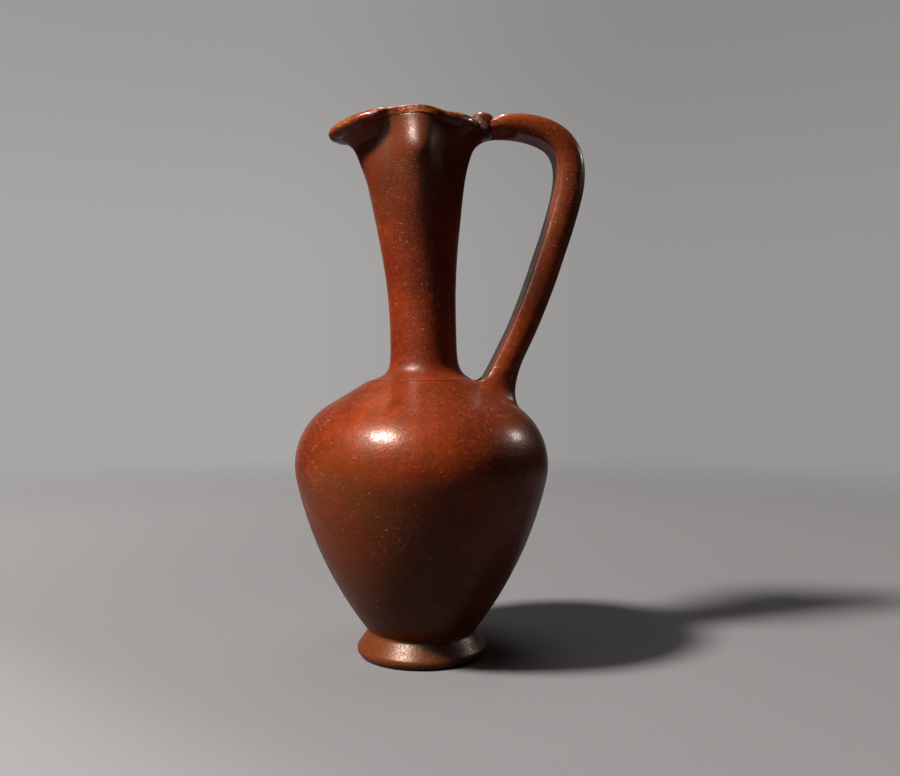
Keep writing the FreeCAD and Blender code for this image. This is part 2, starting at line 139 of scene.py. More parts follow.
# Points of a cubic spline through its poles' control: closed round, or clamped at both ends
def spline(poles, steps, closed):
    poles = np.asarray(poles, float)
    count = len(poles)
    if closed:
        at = np.arange(steps) / steps * count
        span = np.floor(at).astype(int)
        t = (at - span)[:, None, None] if poles.ndim == 3 else (at - span)[:, None]
        weights = ((1 - t) ** 3 / 6, (3 * t ** 3 - 6 * t ** 2 + 4) / 6,
                   (-3 * t ** 3 + 3 * t ** 2 + 3 * t + 1) / 6, t ** 3 / 6)
        return sum(w * poles[(span + k - 1) % count] for k, w in enumerate(weights))
    knots = np.concatenate(([0] * 3, np.arange(count - 2), [count - 3] * 3)).astype(float)
    at = np.linspace(0, count - 3, steps)
    at[-1] -= 1e-9
    basis = [((at >= a) & (at < b)).astype(float) for a, b in zip(knots, knots[1:])]
    for degree in (1, 2, 3):
        raised = []
        for i in range(len(basis) - 1):
            total = 0
            if knots[i + degree] > knots[i]:
                total = total + (at - knots[i]) / (knots[i + degree] - knots[i]) * basis[i]
            if knots[i + degree + 1] > knots[i + 1]:
                total = total + (knots[i + degree + 1] - at) / (
                    knots[i + degree + 1] - knots[i + 1]) * basis[i + 1]
            raised.append(total + np.zeros(steps))
        basis = raised
    return np.tensordot(np.array(basis).T, poles, 1)


# Uneven surface left by the hand: every piece moves along one noise in space, so joints stay shut
def makeHandworkTree():
    tree, given, result = newGroup(
        "handwork", "GeometryNodeTree",
        [("Geometry", "NodeSocketGeometry", None), ("Depth", "NodeSocketFloat", 0.0003),
         ("Scale", "NodeSocketFloat", 60.0)],
        [("Geometry", "NodeSocketGeometry")])
    lumps = node(tree, "ShaderNodeTexNoise", {"Scale": given["Scale"], "Detail": 1.5})
    amount = swing(tree, lumps.outputs[0], given["Depth"])
    offset = vector(tree, "SCALE", node(tree, "GeometryNodeInputNormal").outputs[0], amount)
    moved = node(tree, "GeometryNodeSetPosition", {"Geometry": given["Geometry"], "Offset": offset})
    feed(tree, result["Geometry"], moved.outputs[0])
    return tree


# Shared end of the piece trees: close the seams, work the surface, smooth, realize, material
def endTree(tree, given, result, geometry, flip):
    merged = node(tree, "GeometryNodeMergeByDistance", {"Geometry": geometry, "Distance": 0.000002})
    last = merged.outputs[0]
    if flip:
        last = node(tree, "GeometryNodeFlipFaces", {"Mesh": last}).outputs[0]
    worked = node(tree, "GeometryNodeGroup", node_tree=handwork)
    feed(tree, worked.inputs["Geometry"], last)
    feed(tree, worked.inputs["Depth"], given["Unevenness"])
    smooth = node(tree, "GeometryNodeSetShadeSmooth", {"Geometry": worked.outputs[0]})
    real = node(tree, "GeometryNodeRealizeInstances", {"Geometry": smooth.outputs[0]})
    dressed = node(tree, "GeometryNodeSetMaterial",
                   {"Geometry": real.outputs[0], "Material": given["Material"]})
    feed(tree, result["Geometry"], dressed.outputs[0])


def gridFactors(tree, rows, around):
    grid = node(tree, "GeometryNodeMeshGrid", {
        "Size X": 1.0, "Size Y": 1.0, "Vertices X": rows, "Vertices Y": around})
    index = node(tree, "GeometryNodeInputIndex").outputs[0]
    row = calc(tree, "FLOOR", calc(tree, "DIVIDE", index, around))
    column = calc(tree, "MODULO", index, around)
    along = calc(tree, "DIVIDE", row, calc(tree, "SUBTRACT", rows, 1))
    turn = calc(tree, "DIVIDE", column, calc(tree, "SUBTRACT", around, 1))
    return grid.outputs["Mesh"], row, along, turn


# A thrown piece: the host's outline, in X and Z, turned about the axis
def makeTurnedTree():
    tree, given, result = newGroup(
        "turnedPiece", "GeometryNodeTree",
        [("Geometry", "NodeSocketGeometry", None), ("Around", "NodeSocketInt", 241),
         ("Out Of Round", "NodeSocketFloat", 0.0002), ("Unevenness", "NodeSocketFloat", 0.0003),
         ("Material", "NodeSocketMaterial", None)],
        [("Geometry", "NodeSocketGeometry")])
    rows = node(tree, "GeometryNodeAttributeDomainSize", {"Geometry": given["Geometry"]})
    grid, row, _, turn = gridFactors(tree, rows.outputs["Point Count"], given["Around"])
    sample = node(tree, "GeometryNodeSampleIndex", data_type="FLOAT_VECTOR")
    feed(tree, sample.inputs["Geometry"], given["Geometry"])
    feed(tree, sample.inputs["Value"], node(tree, "GeometryNodeInputPosition").outputs[0])
    feed(tree, sample.inputs["Index"], row)
    outline = split(tree, sample.outputs["Value"])
    angle = calc(tree, "MULTIPLY", turn, 2 * math.pi)
    swell = calc(tree, "COSINE", calc(tree, "ADD", calc(tree, "MULTIPLY", angle, 2.0), 0.7))
    swell = calc(tree, "MULTIPLY", swell, given["Out Of Round"])
    gate = calc(tree, "MINIMUM", calc(tree, "MULTIPLY", outline["X"], 60.0), 1.0)
    reach = calc(tree, "ADD", outline["X"], calc(tree, "MULTIPLY", swell, gate))
    place = node(tree, "ShaderNodeCombineXYZ", {
        "X": calc(tree, "MULTIPLY", reach, calc(tree, "COSINE", angle)),
        "Y": calc(tree, "MULTIPLY", reach, calc(tree, "SINE", angle)),
        "Z": outline["Z"]})
    turned = node(tree, "GeometryNodeSetPosition", {"Geometry": grid, "Position": place.outputs[0]})
    endTree(tree, given, result, turned.outputs[0], True)
    return tree


# A pulled strap: the section runs along the path, which carries its own thickness and width shares
def makeStrapTree():
    tree, given, result = newGroup(
        "pulledStrap", "GeometryNodeTree",
        [("Geometry", "NodeSocketGeometry", None), ("Path", "NodeSocketObject", None),
         ("Section", "NodeSocketObject", None), ("Rows", "NodeSocketInt", 220),
         ("Around", "NodeSocketInt", 97), ("Unevenness", "NodeSocketFloat", 0.0003),
         ("Material", "NodeSocketMaterial", None)],
        [("Geometry", "NodeSocketGeometry")])
    path = node(tree, "GeometryNodeObjectInfo", {"Object": given["Path"]}).outputs["Geometry"]
    section = node(tree, "GeometryNodeObjectInfo", {"Object": given["Section"]}).outputs["Geometry"]
    grid, _, along, turn = gridFactors(tree, given["Rows"], given["Around"])
    thick = node(tree, "GeometryNodeSampleCurve", {
        "Curves": path, "Factor": along, "Value": node(tree, "GeometryNodeInputRadius").outputs[0]})
    wide = node(tree, "GeometryNodeSampleCurve", {
        "Curves": path, "Factor": along,
        "Value": node(tree, "GeometryNodeInputCurveTilt").outputs[0]})
    edge = node(tree, "GeometryNodeSampleCurve", {"Curves": section, "Factor": turn})
    spot = split(tree, edge.outputs["Position"])
    out = vector(tree, "CROSS_PRODUCT", thick.outputs["Tangent"], (0.0, 1.0, 0.0))
    inside = calc(tree, "MULTIPLY", calc(tree, "GREATER_THAN", along, 0.0001),
                  calc(tree, "LESS_THAN", along, 0.9999))
    up = calc(tree, "MULTIPLY", spot["Y"], thick.outputs[0])
    across = calc(tree, "MULTIPLY", spot["X"], wide.outputs[0])
    place = vector(tree, "ADD", thick.outputs["Position"],
                   vector(tree, "SCALE", out, calc(tree, "MULTIPLY", up, inside)))
    side = node(tree, "ShaderNodeCombineXYZ", {"Y": calc(tree, "MULTIPLY", across, inside)})
    place = vector(tree, "ADD", place, side.outputs[0])
    angle = calc(tree, "MULTIPLY", turn, 2 * math.pi)
    grain = node(tree, "ShaderNodeCombineXYZ", {
        "X": calc(tree, "MULTIPLY", calc(tree, "COSINE", angle), 7.0),
        "Y": calc(tree, "MULTIPLY", calc(tree, "SINE", angle), 7.0),
        "Z": calc(tree, "MULTIPLY", along, 9.0)})
    marked = node(tree, "GeometryNodeStoreNamedAttribute", {
        "Geometry": grid, "Name": "grain", "Value": grain.outputs[0]}, data_type="FLOAT_VECTOR")
    swept = node(tree, "GeometryNodeSetPosition", {
        "Geometry": marked.outputs[0], "Position": place})
    endTree(tree, given, result, swept.outputs[0], True)
    return tree


# A rolled bead along a closed path: its section leans with the wall, by the path's tilt
def makeBeadTree():
    tree, given, result = newGroup(
        "rolledBead", "GeometryNodeTree",
        [("Geometry", "NodeSocketGeometry", None), ("Path", "NodeSocketObject", None),
         ("Section", "NodeSocketObject", None), ("Rows", "NodeSocketInt", 361),
         ("Around", "NodeSocketInt", 37), ("Swelling", "NodeSocketFloat", 0.08),
         ("Pitting", "NodeSocketFloat", 0.06), ("Flush", "NodeSocketFloat", 0.0019),
         ("Proud", "NodeSocketFloat", 0.0036), ("Unevenness", "NodeSocketFloat", 0.0003),
         ("Material", "NodeSocketMaterial", None)],
        [("Geometry", "NodeSocketGeometry")])
    path = node(tree, "GeometryNodeObjectInfo", {"Object": given["Path"]}).outputs["Geometry"]
    section = node(tree, "GeometryNodeObjectInfo", {"Object": given["Section"]}).outputs["Geometry"]
    grid, _, along, turn = gridFactors(tree, given["Rows"], given["Around"])
    lean = node(tree, "GeometryNodeSampleCurve", {
        "Curves": path, "Factor": along,
        "Value": node(tree, "GeometryNodeInputCurveTilt").outputs[0]})
    edge = node(tree, "GeometryNodeSampleCurve", {"Curves": section, "Factor": turn})
    spot = split(tree, edge.outputs["Position"])
    flat = vector(tree, "NORMALIZE",
                  vector(tree, "CROSS_PRODUCT", lean.outputs["Tangent"], (0.0, 0.0, 1.0)))
    rise = vector(tree, "CROSS_PRODUCT", flat, lean.outputs["Tangent"])
    roll = node(tree, "GeometryNodeSampleCurve", {
        "Curves": path, "Factor": along, "Value": node(tree, "GeometryNodeInputRadius").outputs[0]})
    swell = node(tree, "ShaderNodeTexNoise", {
        "Vector": lean.outputs["Position"], "Scale": 90.0, "Detail": 2.0})
    around = vector(tree, "ADD", lean.outputs["Position"], edge.outputs["Position"])
    pitting = node(tree, "ShaderNodeTexNoise", {"Vector": around, "Scale": 330.0, "Detail": 2.0})
    wave = swing(tree, swell.outputs[0], given["Swelling"])
    pits = swing(tree, pitting.outputs[0], given["Pitting"])
    bulk = calc(tree, "ADD", 1.0, calc(tree, "ADD", wave, pits))
    cosine = calc(tree, "COSINE", lean.outputs[0])
    sine = calc(tree, "SINE", lean.outputs[0])
    # the path's radius says how high the bead is; a low bead is also flush with the wall
    proud = calc(tree, "MAXIMUM", calc(tree, "SUBTRACT", roll.outputs[0], 0.62), 0.0)
    limit = calc(tree, "ADD", given["Flush"], calc(tree, "MULTIPLY", proud, given["Proud"]))
    outShare = calc(tree, "MULTIPLY", calc(tree, "MINIMUM", spot["X"], limit), bulk)
    high = calc(tree, "MULTIPLY", bulk, roll.outputs[0])
    onShare = calc(tree, "MULTIPLY", spot["Y"], high)
    outward = calc(tree, "ADD", calc(tree, "MULTIPLY", outShare, cosine),
                   calc(tree, "MULTIPLY", onShare, sine))
    upward = calc(tree, "SUBTRACT", calc(tree, "MULTIPLY", onShare, cosine),
                  calc(tree, "MULTIPLY", outShare, sine))
    place = vector(tree, "ADD", lean.outputs["Position"], vector(tree, "SCALE", flat, outward))
    place = vector(tree, "ADD", place, vector(tree, "SCALE", rise, upward))
    swept = node(tree, "GeometryNodeSetPosition", {"Geometry": grid, "Position": place})
    endTree(tree, given, result, swept.outputs[0], False)
    return tree


# Smooths and works a mesh that was made another way
def makeFinishTree():
    tree, given, result = newGroup(
        "workedMesh", "GeometryNodeTree",
        [("Geometry", "NodeSocketGeometry", None), ("Unevenness", "NodeSocketFloat", 0.0003),
         ("Material", "NodeSocketMaterial", None)],
        [("Geometry", "NodeSocketGeometry")])
    endTree(tree, given, result, given["Geometry"], False)
    return tree


handwork = makeHandworkTree()
turnedTree = makeTurnedTree()
strapTree = makeStrapTree()
beadTree = makeBeadTree()
finishTree = makeFinishTree()
print("trees ready")


# Slip: colours, places in metres, gloss, depth of the relief in metres
slipSizes = {
    "red": (0.44, 0.056, 0.009), "deep": (0.29, 0.032, 0.006), "brown": (0.21, 0.040, 0.010),
    "ochre": (0.27, 0.066, 0.011), "lowTone": (0.185, 0.052, 0.013), "pale": (0.62, 0.40, 0.22),
    # a dark brown tone for random stains, and for the painted shade high on the neck
    "stainAndShade": (0.20, 0.050, 0.016),
    # the ochre cloud's place and size, then the heights over which the painted shade comes in
    "cloudPlace": (-0.030, -0.048, 0.081), "cloudSize": 0.036, "shadeFrom": 0.186, "shadeTo": 0.236,
    "mattAcross": (-0.003, 0.006, 0.0, 0.93), "mattUp": (0.196, 0.212),
    "satin": 0.34, "polish": 0.80, "gleam": 0.23,
    "grain": 0.00019, "strokes": 0.00008, "pits": 0.00016,
}
wornAndShadeSizes = {
    "orange": (0.56, 0.125, 0.020), "red": (0.46, 0.070, 0.014), "dark": (0.13, 0.026, 0.009),
    # painted shade: a dark tone laid on faces turned down and sideways, and its share
    "under": (0.12, 0.024, 0.008), "underShare": 0.78,
    "pale": (0.66, 0.36, 0.15), "satin": 0.28, "polish": 1.0, "lumps": 0.00062, "grain": 0.00020,
}


def noiseOf(tree, place, scale, detail=2.0, rough=0.5, warp=0.0):
    return node(tree, "ShaderNodeTexNoise", {
        "Vector": place, "Scale": scale, "Detail": detail, "Roughness": rough,
        "Distortion": warp}).outputs["Fac"]


def ramp(tree, value, low, high, start=0.0, end=1.0):
    return node(tree, "ShaderNodeMapRange", {
        "Value": value, "From Min": low, "From Max": high, "To Min": start, "To Max": end},
        interpolation_type="SMOOTHSTEP").outputs["Result"]


def mixed(tree, share, first, second, blend="MIX"):
    return node(tree, "ShaderNodeMix", {0: share, 6: first, 7: second},
                data_type="RGBA", blend_type=blend).outputs[2]


def tinted(tree, colour, mask, share, tone):
    return mixed(tree, calc(tree, "MULTIPLY", mask, share), colour, tone)


def scaled(tree, place, x, y, z):
    return vector(tree, "MULTIPLY", place, (x, y, z))


# Colour of the slip: thick and thin patches, a broad brown cast, a fine mottle
def makeToneGroup():
    tree, given, result = newGroup(
        "slipTone", "ShaderNodeTree",
        [("Vector", "NodeSocketVector", None), ("Full", "NodeSocketColor", None),
         ("Thin", "NodeSocketColor", None), ("Brown", "NodeSocketColor", None),
         ("Patch Scale", "NodeSocketFloat", 26.0), ("Mottle", "NodeSocketFloat", 0.60)],
        [("Color", "NodeSocketColor")])
    place = given["Vector"]
    patches = ramp(tree, noiseOf(tree, place, given["Patch Scale"], 4.0, 0.6), 0.42, 0.62)
    colour = mixed(tree, patches, given["Full"], given["Thin"])
    shifted = vector(tree, "ADD", place, (0.3, 0.1, 0.7))
    broad = ramp(tree, noiseOf(tree, shifted, 13.0, 3.0), 0.48, 0.68)
    colour = tinted(tree, colour, broad, 0.55, given["Brown"])
    fine = ramp(tree, noiseOf(tree, place, 420.0, 4.0, 0.65), 0.3, 0.7, 0.62, 1.38)
    tint = node(tree, "ShaderNodeCombineColor", {0: fine, 1: fine, 2: fine}).outputs[0]
    colour = mixed(tree, given["Mottle"], colour, mixed(tree, 1.0, colour, tint, "MULTIPLY"))
    feed(tree, result["Color"], colour)
    return tree


# Strokes of the burnisher: the fine way of the given vector is across them
def makeStrokeGroup():
    tree, given, result = newGroup(
        "burnishStrokes", "ShaderNodeTree",
        [("Vector", "NodeSocketVector", None), ("Width", "NodeSocketFloat", 1.0)],
        [("Height", "NodeSocketFloat"), ("Mask", "NodeSocketFloat")])
    broad = noiseOf(tree, given["Vector"], calc(tree, "DIVIDE", 0.45, given["Width"]), 2.0, 0.5)
    narrow = noiseOf(tree, given["Vector"], calc(tree, "DIVIDE", 1.6, given["Width"]), 3.0, 0.6)
    height = calc(tree, "ADD", calc(tree, "MULTIPLY", broad, 0.6),
                  calc(tree, "MULTIPLY", narrow, 0.4))
    feed(tree, result["Height"], height)
    feed(tree, result["Mask"], ramp(tree, height, 0.38, 0.62))
    return tree


# Small chips in the slip, which show the pale clay
def makeChipGroup():
    tree, given, result = newGroup(
        "chips", "ShaderNodeTree",
        [("Vector", "NodeSocketVector", None), ("Scale", "NodeSocketFloat", 330.0),
         ("Share", "NodeSocketFloat", 0.2), ("Radius", "NodeSocketFloat", 0.2)],
        [("Mask", "NodeSocketFloat")])
    bent = node(tree, "ShaderNodeTexNoise", {
        "Vector": given["Vector"], "Scale": 700.0, "Detail": 2.0})
    bent = vector(tree, "SUBTRACT", bent.outputs["Color"], (0.5, 0.5, 0.5))
    wander = vector(tree, "SCALE", bent, 0.0016)
    place = vector(tree, "ADD", given["Vector"], wander)
    cells = node(tree, "ShaderNodeTexVoronoi", {"Vector": place, "Scale": given["Scale"]})
    pick = node(tree, "ShaderNodeSeparateColor", {0: cells.outputs["Color"]})
    chosen = calc(tree, "LESS_THAN", pick.outputs[0], given["Share"])
    radius = calc(tree, "MULTIPLY", given["Radius"], calc(tree, "ADD", 0.4, pick.outputs[1]))
    near = ramp(tree, cells.outputs["Distance"], radius, calc(tree, "MULTIPLY", radius, 0.55))
    feed(tree, result["Mask"], calc(tree, "MULTIPLY", near, chosen))
    return tree


# Short fine scratches: thin bent lines, broken into ticks
def makeScratchGroup():
    tree, given, result = newGroup(
        "scratches", "ShaderNodeTree",
        [("Vector", "NodeSocketVector", None), ("Scale", "NodeSocketFloat", 150.0),
         ("Width", "NodeSocketFloat", 0.02), ("Share", "NodeSocketFloat", 0.4)],
        [("Mask", "NodeSocketFloat")])
    bend = noiseOf(tree, given["Vector"], given["Scale"], 1.0, 0.5)
    off = calc(tree, "ABSOLUTE", calc(tree, "SUBTRACT", bend, 0.5))
    line = ramp(tree, off, given["Width"], 0.0)
    shifted = vector(tree, "ADD", given["Vector"], (0.17, 0.41, 0.23))
    cut = noiseOf(tree, shifted, calc(tree, "MULTIPLY", given["Scale"], 2.6), 1.0, 0.5)
    limit = calc(tree, "SUBTRACT", 0.72, calc(tree, "MULTIPLY", given["Share"], 0.3))
    tick = node(tree, "ShaderNodeMapRange", {
        "Value": cut, "From Min": limit, "From Max": calc(tree, "ADD", limit, 0.04),
        "To Min": 0.0, "To Max": 1.0}).outputs["Result"]
    feed(tree, result["Mask"], calc(tree, "MULTIPLY", line, tick))
    return tree


toneGroup = makeToneGroup()
strokeGroup = makeStrokeGroup()
chipGroup = makeChipGroup()
scratchGroup = makeScratchGroup()


def useGroup(tree, group, values):
    made = node(tree, "ShaderNodeGroup", node_tree=group)
    for key, value in values.items():
        feed(tree, made.inputs[key], value)
    return made.outputs


def startMaterial(name):
    material = bpy.data.materials.new(name)
    material.use_nodes = True
    tree = material.node_tree
    shader = tree.nodes["Principled BSDF"]
    place = tree.nodes.new("ShaderNodeTexCoord").outputs["Object"]
    return material, tree, shader, place


def bumped(tree, height, distance, normal=None):
    made = node(tree, "ShaderNodeBump", {"Height": height, "Distance": distance, "Strength": 1.0})
    if normal:
        feed(tree, made.inputs["Normal"], normal)
    return made.outputs[0]


def burnished(name, strokes, s, chipShare, cloud, upperShade):
    material, tree, shader, place = startMaterial(name)
    colour = useGroup(tree, toneGroup, {
        "Vector": place, "Full": s["red"], "Thin": s["deep"], "Brown": s["brown"]})["Color"]
    spread = noiseOf(tree, place, 45.0, 3.0, 0.6)
    height = split(tree, place)["Z"]
    if cloud:
        away = vector(tree, "DISTANCE", scaled(tree, place, 1, 1, 1.5), (
            s["cloudPlace"][0], s["cloudPlace"][1], s["cloudPlace"][2] * 1.5))
        away = calc(tree, "ADD", away, swing(tree, spread, 0.05))
        warm = ramp(tree, away, s["cloudSize"], s["cloudSize"] * 0.3)
        colour = tinted(tree, colour, warm, 0.8, s["ochre"])
        # darker and browner towards the bottom
        low = calc(tree, "ADD", height, swing(tree, spread, 0.05))
        low = ramp(tree, low, 0.094, 0.030)
        colour = tinted(tree, colour, low, 0.85, s["lowTone"])
    # painted shade beneath the mouth: the slip gets darker from the throat upwards
    high = calc(tree, "ADD", height, swing(tree, spread, 0.06))
    high = ramp(tree, high, s["shadeFrom"], s["shadeTo"])
    colour = tinted(tree, colour, high, upperShade, s["stainAndShade"])
    # random darker stains, in the same tone
    stains = ramp(tree, noiseOf(tree, place, 110.0, 4.0, 0.65, 0.4), 0.50, 0.66)
    colour = tinted(tree, colour, stains, 0.38, s["stainAndShade"])
    stroke = useGroup(tree, strokeGroup, {"Vector": strokes(tree, place), "Width": 1.0})
    worn = ramp(tree, noiseOf(tree, place, 30.0, 3.0), 0.42, 0.66)
    share = calc(tree, "ADD", 0.40, calc(tree, "MULTIPLY", worn, 0.8))
    share = calc(tree, "MULTIPLY", share, chipShare)
    chips = useGroup(tree, chipGroup, {
        "Vector": place, "Scale": 620.0, "Share": share, "Radius": 0.20})["Mask"]
    ticks = useGroup(tree, scratchGroup, {
        "Vector": scaled(tree, place, 1.0, 1.0, 1.6), "Scale": 160.0, "Width": 0.028,
        "Share": share})["Mask"]
    finer = useGroup(tree, scratchGroup, {
        "Vector": scaled(tree, place, 0.8, 0.8, 2.2), "Scale": 420.0, "Width": 0.05,
        "Share": share})["Mask"]
    marks = calc(tree, "MAXIMUM", chips, calc(tree, "MAXIMUM", ticks, finer))
    colour = tinted(tree, colour, marks, 0.46, s["pale"])
    colour = tinted(tree, colour, stroke["Mask"], 0.24, s["deep"])
    feed(tree, shader.inputs["Base Color"], colour)
    grain = noiseOf(tree, place, 720.0, 3.0, 0.6)
    rough = ramp(tree, noiseOf(tree, place, 70.0, 3.0), 0.35, 0.65,
                 s["satin"] - 0.04, s["satin"] + 0.08)
    rough = calc(tree, "ADD", rough, calc(tree, "MULTIPLY", stroke["Mask"], 0.05))
    rough = calc(tree, "ADD", rough, calc(tree, "MULTIPLY", marks, 0.3))
    feed(tree, shader.inputs["Roughness"], rough)
    shader.inputs["Specular IOR Level"].default_value = 0.18
    shader.inputs["Specular Tint"].default_value = (1.0, 0.72, 0.56, 1)
    patchy = ramp(tree, noiseOf(tree, place, 950.0, 3.0, 0.7), 0.38, 0.62, 0.35, 1.25)
    polish = calc(tree, "MULTIPLY", calc(tree, "MULTIPLY", s["polish"], patchy),
                  calc(tree, "SUBTRACT", 1.0, marks))
    if upperShade:
        # the neck is matt towards the handle, above its throat
        spot = split(tree, place)
        matt = calc(tree, "MULTIPLY", ramp(tree, spot["X"], *s["mattAcross"]),
                    ramp(tree, spot["Z"], *s["mattUp"]))
        polish = calc(tree, "MULTIPLY", polish, calc(tree, "SUBTRACT", 1.0, matt))
        rough = calc(tree, "ADD", rough, calc(tree, "MULTIPLY", matt, 0.40))
        feed(tree, shader.inputs["Roughness"], rough)
    feed(tree, shader.inputs["Coat Weight"], polish)
    shader.inputs["Coat Roughness"].default_value = s["gleam"]
    shader.inputs["Coat IOR"].default_value = 1.36
    normal = bumped(tree, stroke["Height"], s["strokes"])
    normal = bumped(tree, grain, s["grain"], normal)
    normal = bumped(tree, calc(tree, "SUBTRACT", 1.0, marks), s["pits"], normal)
    feed(tree, shader.inputs["Normal"], normal)
    return material


# Worn slip of the lip and knob, with painted shade laid on its lower and side faces
def wornAndShadedEdge(name, s, topFacing, sideFacing):
    material, tree, shader, place = startMaterial(name)
    patches = ramp(tree, noiseOf(tree, place, 120.0, 4.0, 0.6), 0.40, 0.62)
    colour = mixed(tree, patches, s["red"], s["orange"])
    dark = ramp(tree, noiseOf(tree, place, 330.0, 4.0, 0.7), 0.50, 0.66)
    colour = tinted(tree, colour, dark, 0.5, s["dark"])
    chips = useGroup(tree, chipGroup, {
        "Vector": place, "Scale": 480.0, "Share": 0.34, "Radius": 0.3})["Mask"]
    colour = tinted(tree, colour, chips, 0.45, s["pale"])
    # painted shade: the slip is darkened where it faces down and sideways, away from the lamps
    # above
    facing = split(tree, tree.nodes.new("ShaderNodeNewGeometry").outputs["Normal"])["Z"]
    under = ramp(tree, facing, topFacing, sideFacing)
    colour = tinted(tree, colour, under, s["underShare"], s["under"])
    feed(tree, shader.inputs["Base Color"], colour)
    lumps = noiseOf(tree, place, 260.0, 4.0, 0.65)
    grain = noiseOf(tree, place, 900.0, 3.0, 0.6)
    rough = ramp(tree, noiseOf(tree, place, 200.0, 3.0), 0.35, 0.65,
                 s["satin"] - 0.08, s["satin"] + 0.14)
    feed(tree, shader.inputs["Roughness"], rough)
    glaze = ramp(tree, noiseOf(tree, place, 170.0, 2.0), 0.42, 0.60, 0.15, s["polish"])
    feed(tree, shader.inputs["Coat Weight"], glaze)
    shader.inputs["Coat Roughness"].default_value = 0.14
    shader.inputs["Coat IOR"].default_value = 1.40
    shader.inputs["Specular IOR Level"].default_value = 0.25
    normal = bumped(tree, lumps, s["lumps"])
    normal = bumped(tree, grain, s["grain"], normal)
    normal = bumped(tree, calc(tree, "SUBTRACT", 1.0, chips), 0.0002, normal)
    feed(tree, shader.inputs["Normal"], normal)
    return material


# Strokes round the thrown pieces, and along the strap
def strokesRound(tree, place):
    return scaled(tree, place, 45.0, 45.0, 900.0)


def strokesAlong(tree, place):
    return node(tree, "ShaderNodeAttribute", attribute_name="grain").outputs["Vector"]


burnishedSlip = burnished("burnishedSlip", strokesRound, slipSizes, 0.42, True, 0.0)
neckSlip = burnished("neckSlip", strokesRound, dict(slipSizes, gleam=0.38), 0.34, False, 0.75)
# the strap's slip is lighter and a little more orange than the body's; the extra lightness is
# painted light
strapSizes = dict(slipSizes, red=(0.50, 0.076, 0.013), deep=(0.34, 0.042, 0.008))
strapSlip = burnished("strapSlip", strokesAlong, strapSizes, 0.46, False, 0.0)
footSlip = burnished("footSlip", strokesRound, dict(slipSizes, gleam=0.34), 0.42, True, 0.0)
wornShadedSlip = wornAndShadedEdge("wornShadedSlip", wornAndShadeSizes, 0.10, -0.60)
# the knob gets a darker painted shade on all but its top
knobSlip = wornAndShadedEdge("knobSlip", dict(
    wornAndShadeSizes, polish=0.2, under=(0.05, 0.011, 0.004), underShare=0.94), 0.92, 0.35)
print("materials ready")


# Thrown foot and body, each an outline that is turned
footSizes = {
    "radius": 31.0, "cushion": 3.0, "height": 12.2, "waist": 26.0, "flare": 34.0,
    "recess": 20.0, "recessTop": 17.0, "unevenness": 0.22,
}
bodySizes = {
    "bellyRadius": 60.4, "bellyHeight": 91.0, "shoulderBend": 33.3, "flankAngle": 12.5,
    "shoulderAngle": 31.4, "wall": 4.5, "floor": 6.0, "seamRadius": 26.0,
    "groove": 0.16, "unevenness": 0.20,
}


def arcRun(centre, radius, start, end, steps):
    turns = np.linspace(start, end, steps)
    return [(centre[0] + radius * math.cos(t), centre[1] + radius * math.sin(t)) for t in turns]


def straightRun(start, end, steps):
    return [tuple(np.array(start) + (np.array(end) - np.array(start)) * s)
            for s in np.linspace(0, 1, steps)]


def joinRuns(*runs):
    points = []
    for run in runs:
        for point in run:
            if not points or math.dist(points[-1], point) > 0.02:
                points.append(point)
    return points


def turnOutline(name, points, nodeName, unevenness, outOfRound, slip):
    host = addPiece(name + "Outline", [(x * mm, 0, z * mm) for x, z in points], [],
                    [(i, i + 1) for i in range(len(points) - 1)])
    piece = grow(name, host, turnedTree, {
        "Around": 257, "Unevenness": unevenness * mm, "Out Of Round": outOfRound * mm,
        "Material": slip})
    seat(piece, nodeName)
    return piece


def footOutline(s):
    rest = s["radius"] - s["cushion"]
    flare = math.radians(s["flare"])
    edge = (rest + s["cushion"] * math.cos(flare), s["cushion"] * (1 + math.sin(flare)))
    lean = math.cos(flare) / math.sin(flare)
    cove = ((s["height"] - edge[1] - lean * (edge[0] - s["waist"]))
            / (math.sin(flare) - lean * (1 - math.cos(flare))))
    centre = (s["waist"] + cove, s["height"])
    top = (centre[0] - cove * math.cos(flare), centre[1] - cove * math.sin(flare))
    return joinRuns(
        straightRun((0, s["height"]), (s["recessTop"] - 1.5, s["height"]), 8),
        arcRun((s["recessTop"] - 1.5, s["height"] - 1.5), 1.5, math.pi / 2, 0.25, 6),
        straightRun((s["recessTop"] + 0.2, s["height"] - 2), (s["recess"] - 0.3, 0.8), 14),
        straightRun((s["recess"] - 0.1, 0.3), (s["recess"] + 0.6, 0.0), 4),
        straightRun((s["recess"] + 1.2, 0.0), (rest, 0), 8),
        arcRun((rest, s["cushion"]), s["cushion"], -math.pi / 2, flare, 22),
        straightRun(edge, top, 14),
        arcRun(centre, cove, math.pi + flare, math.pi, 12),
        straightRun((s["waist"], s["height"]), (s["waist"] - 0.4, s["height"] + 0.8), 3),
        straightRun((s["waist"] - 2, s["height"] + 0.8), (0, s["height"] + 0.8), 8))


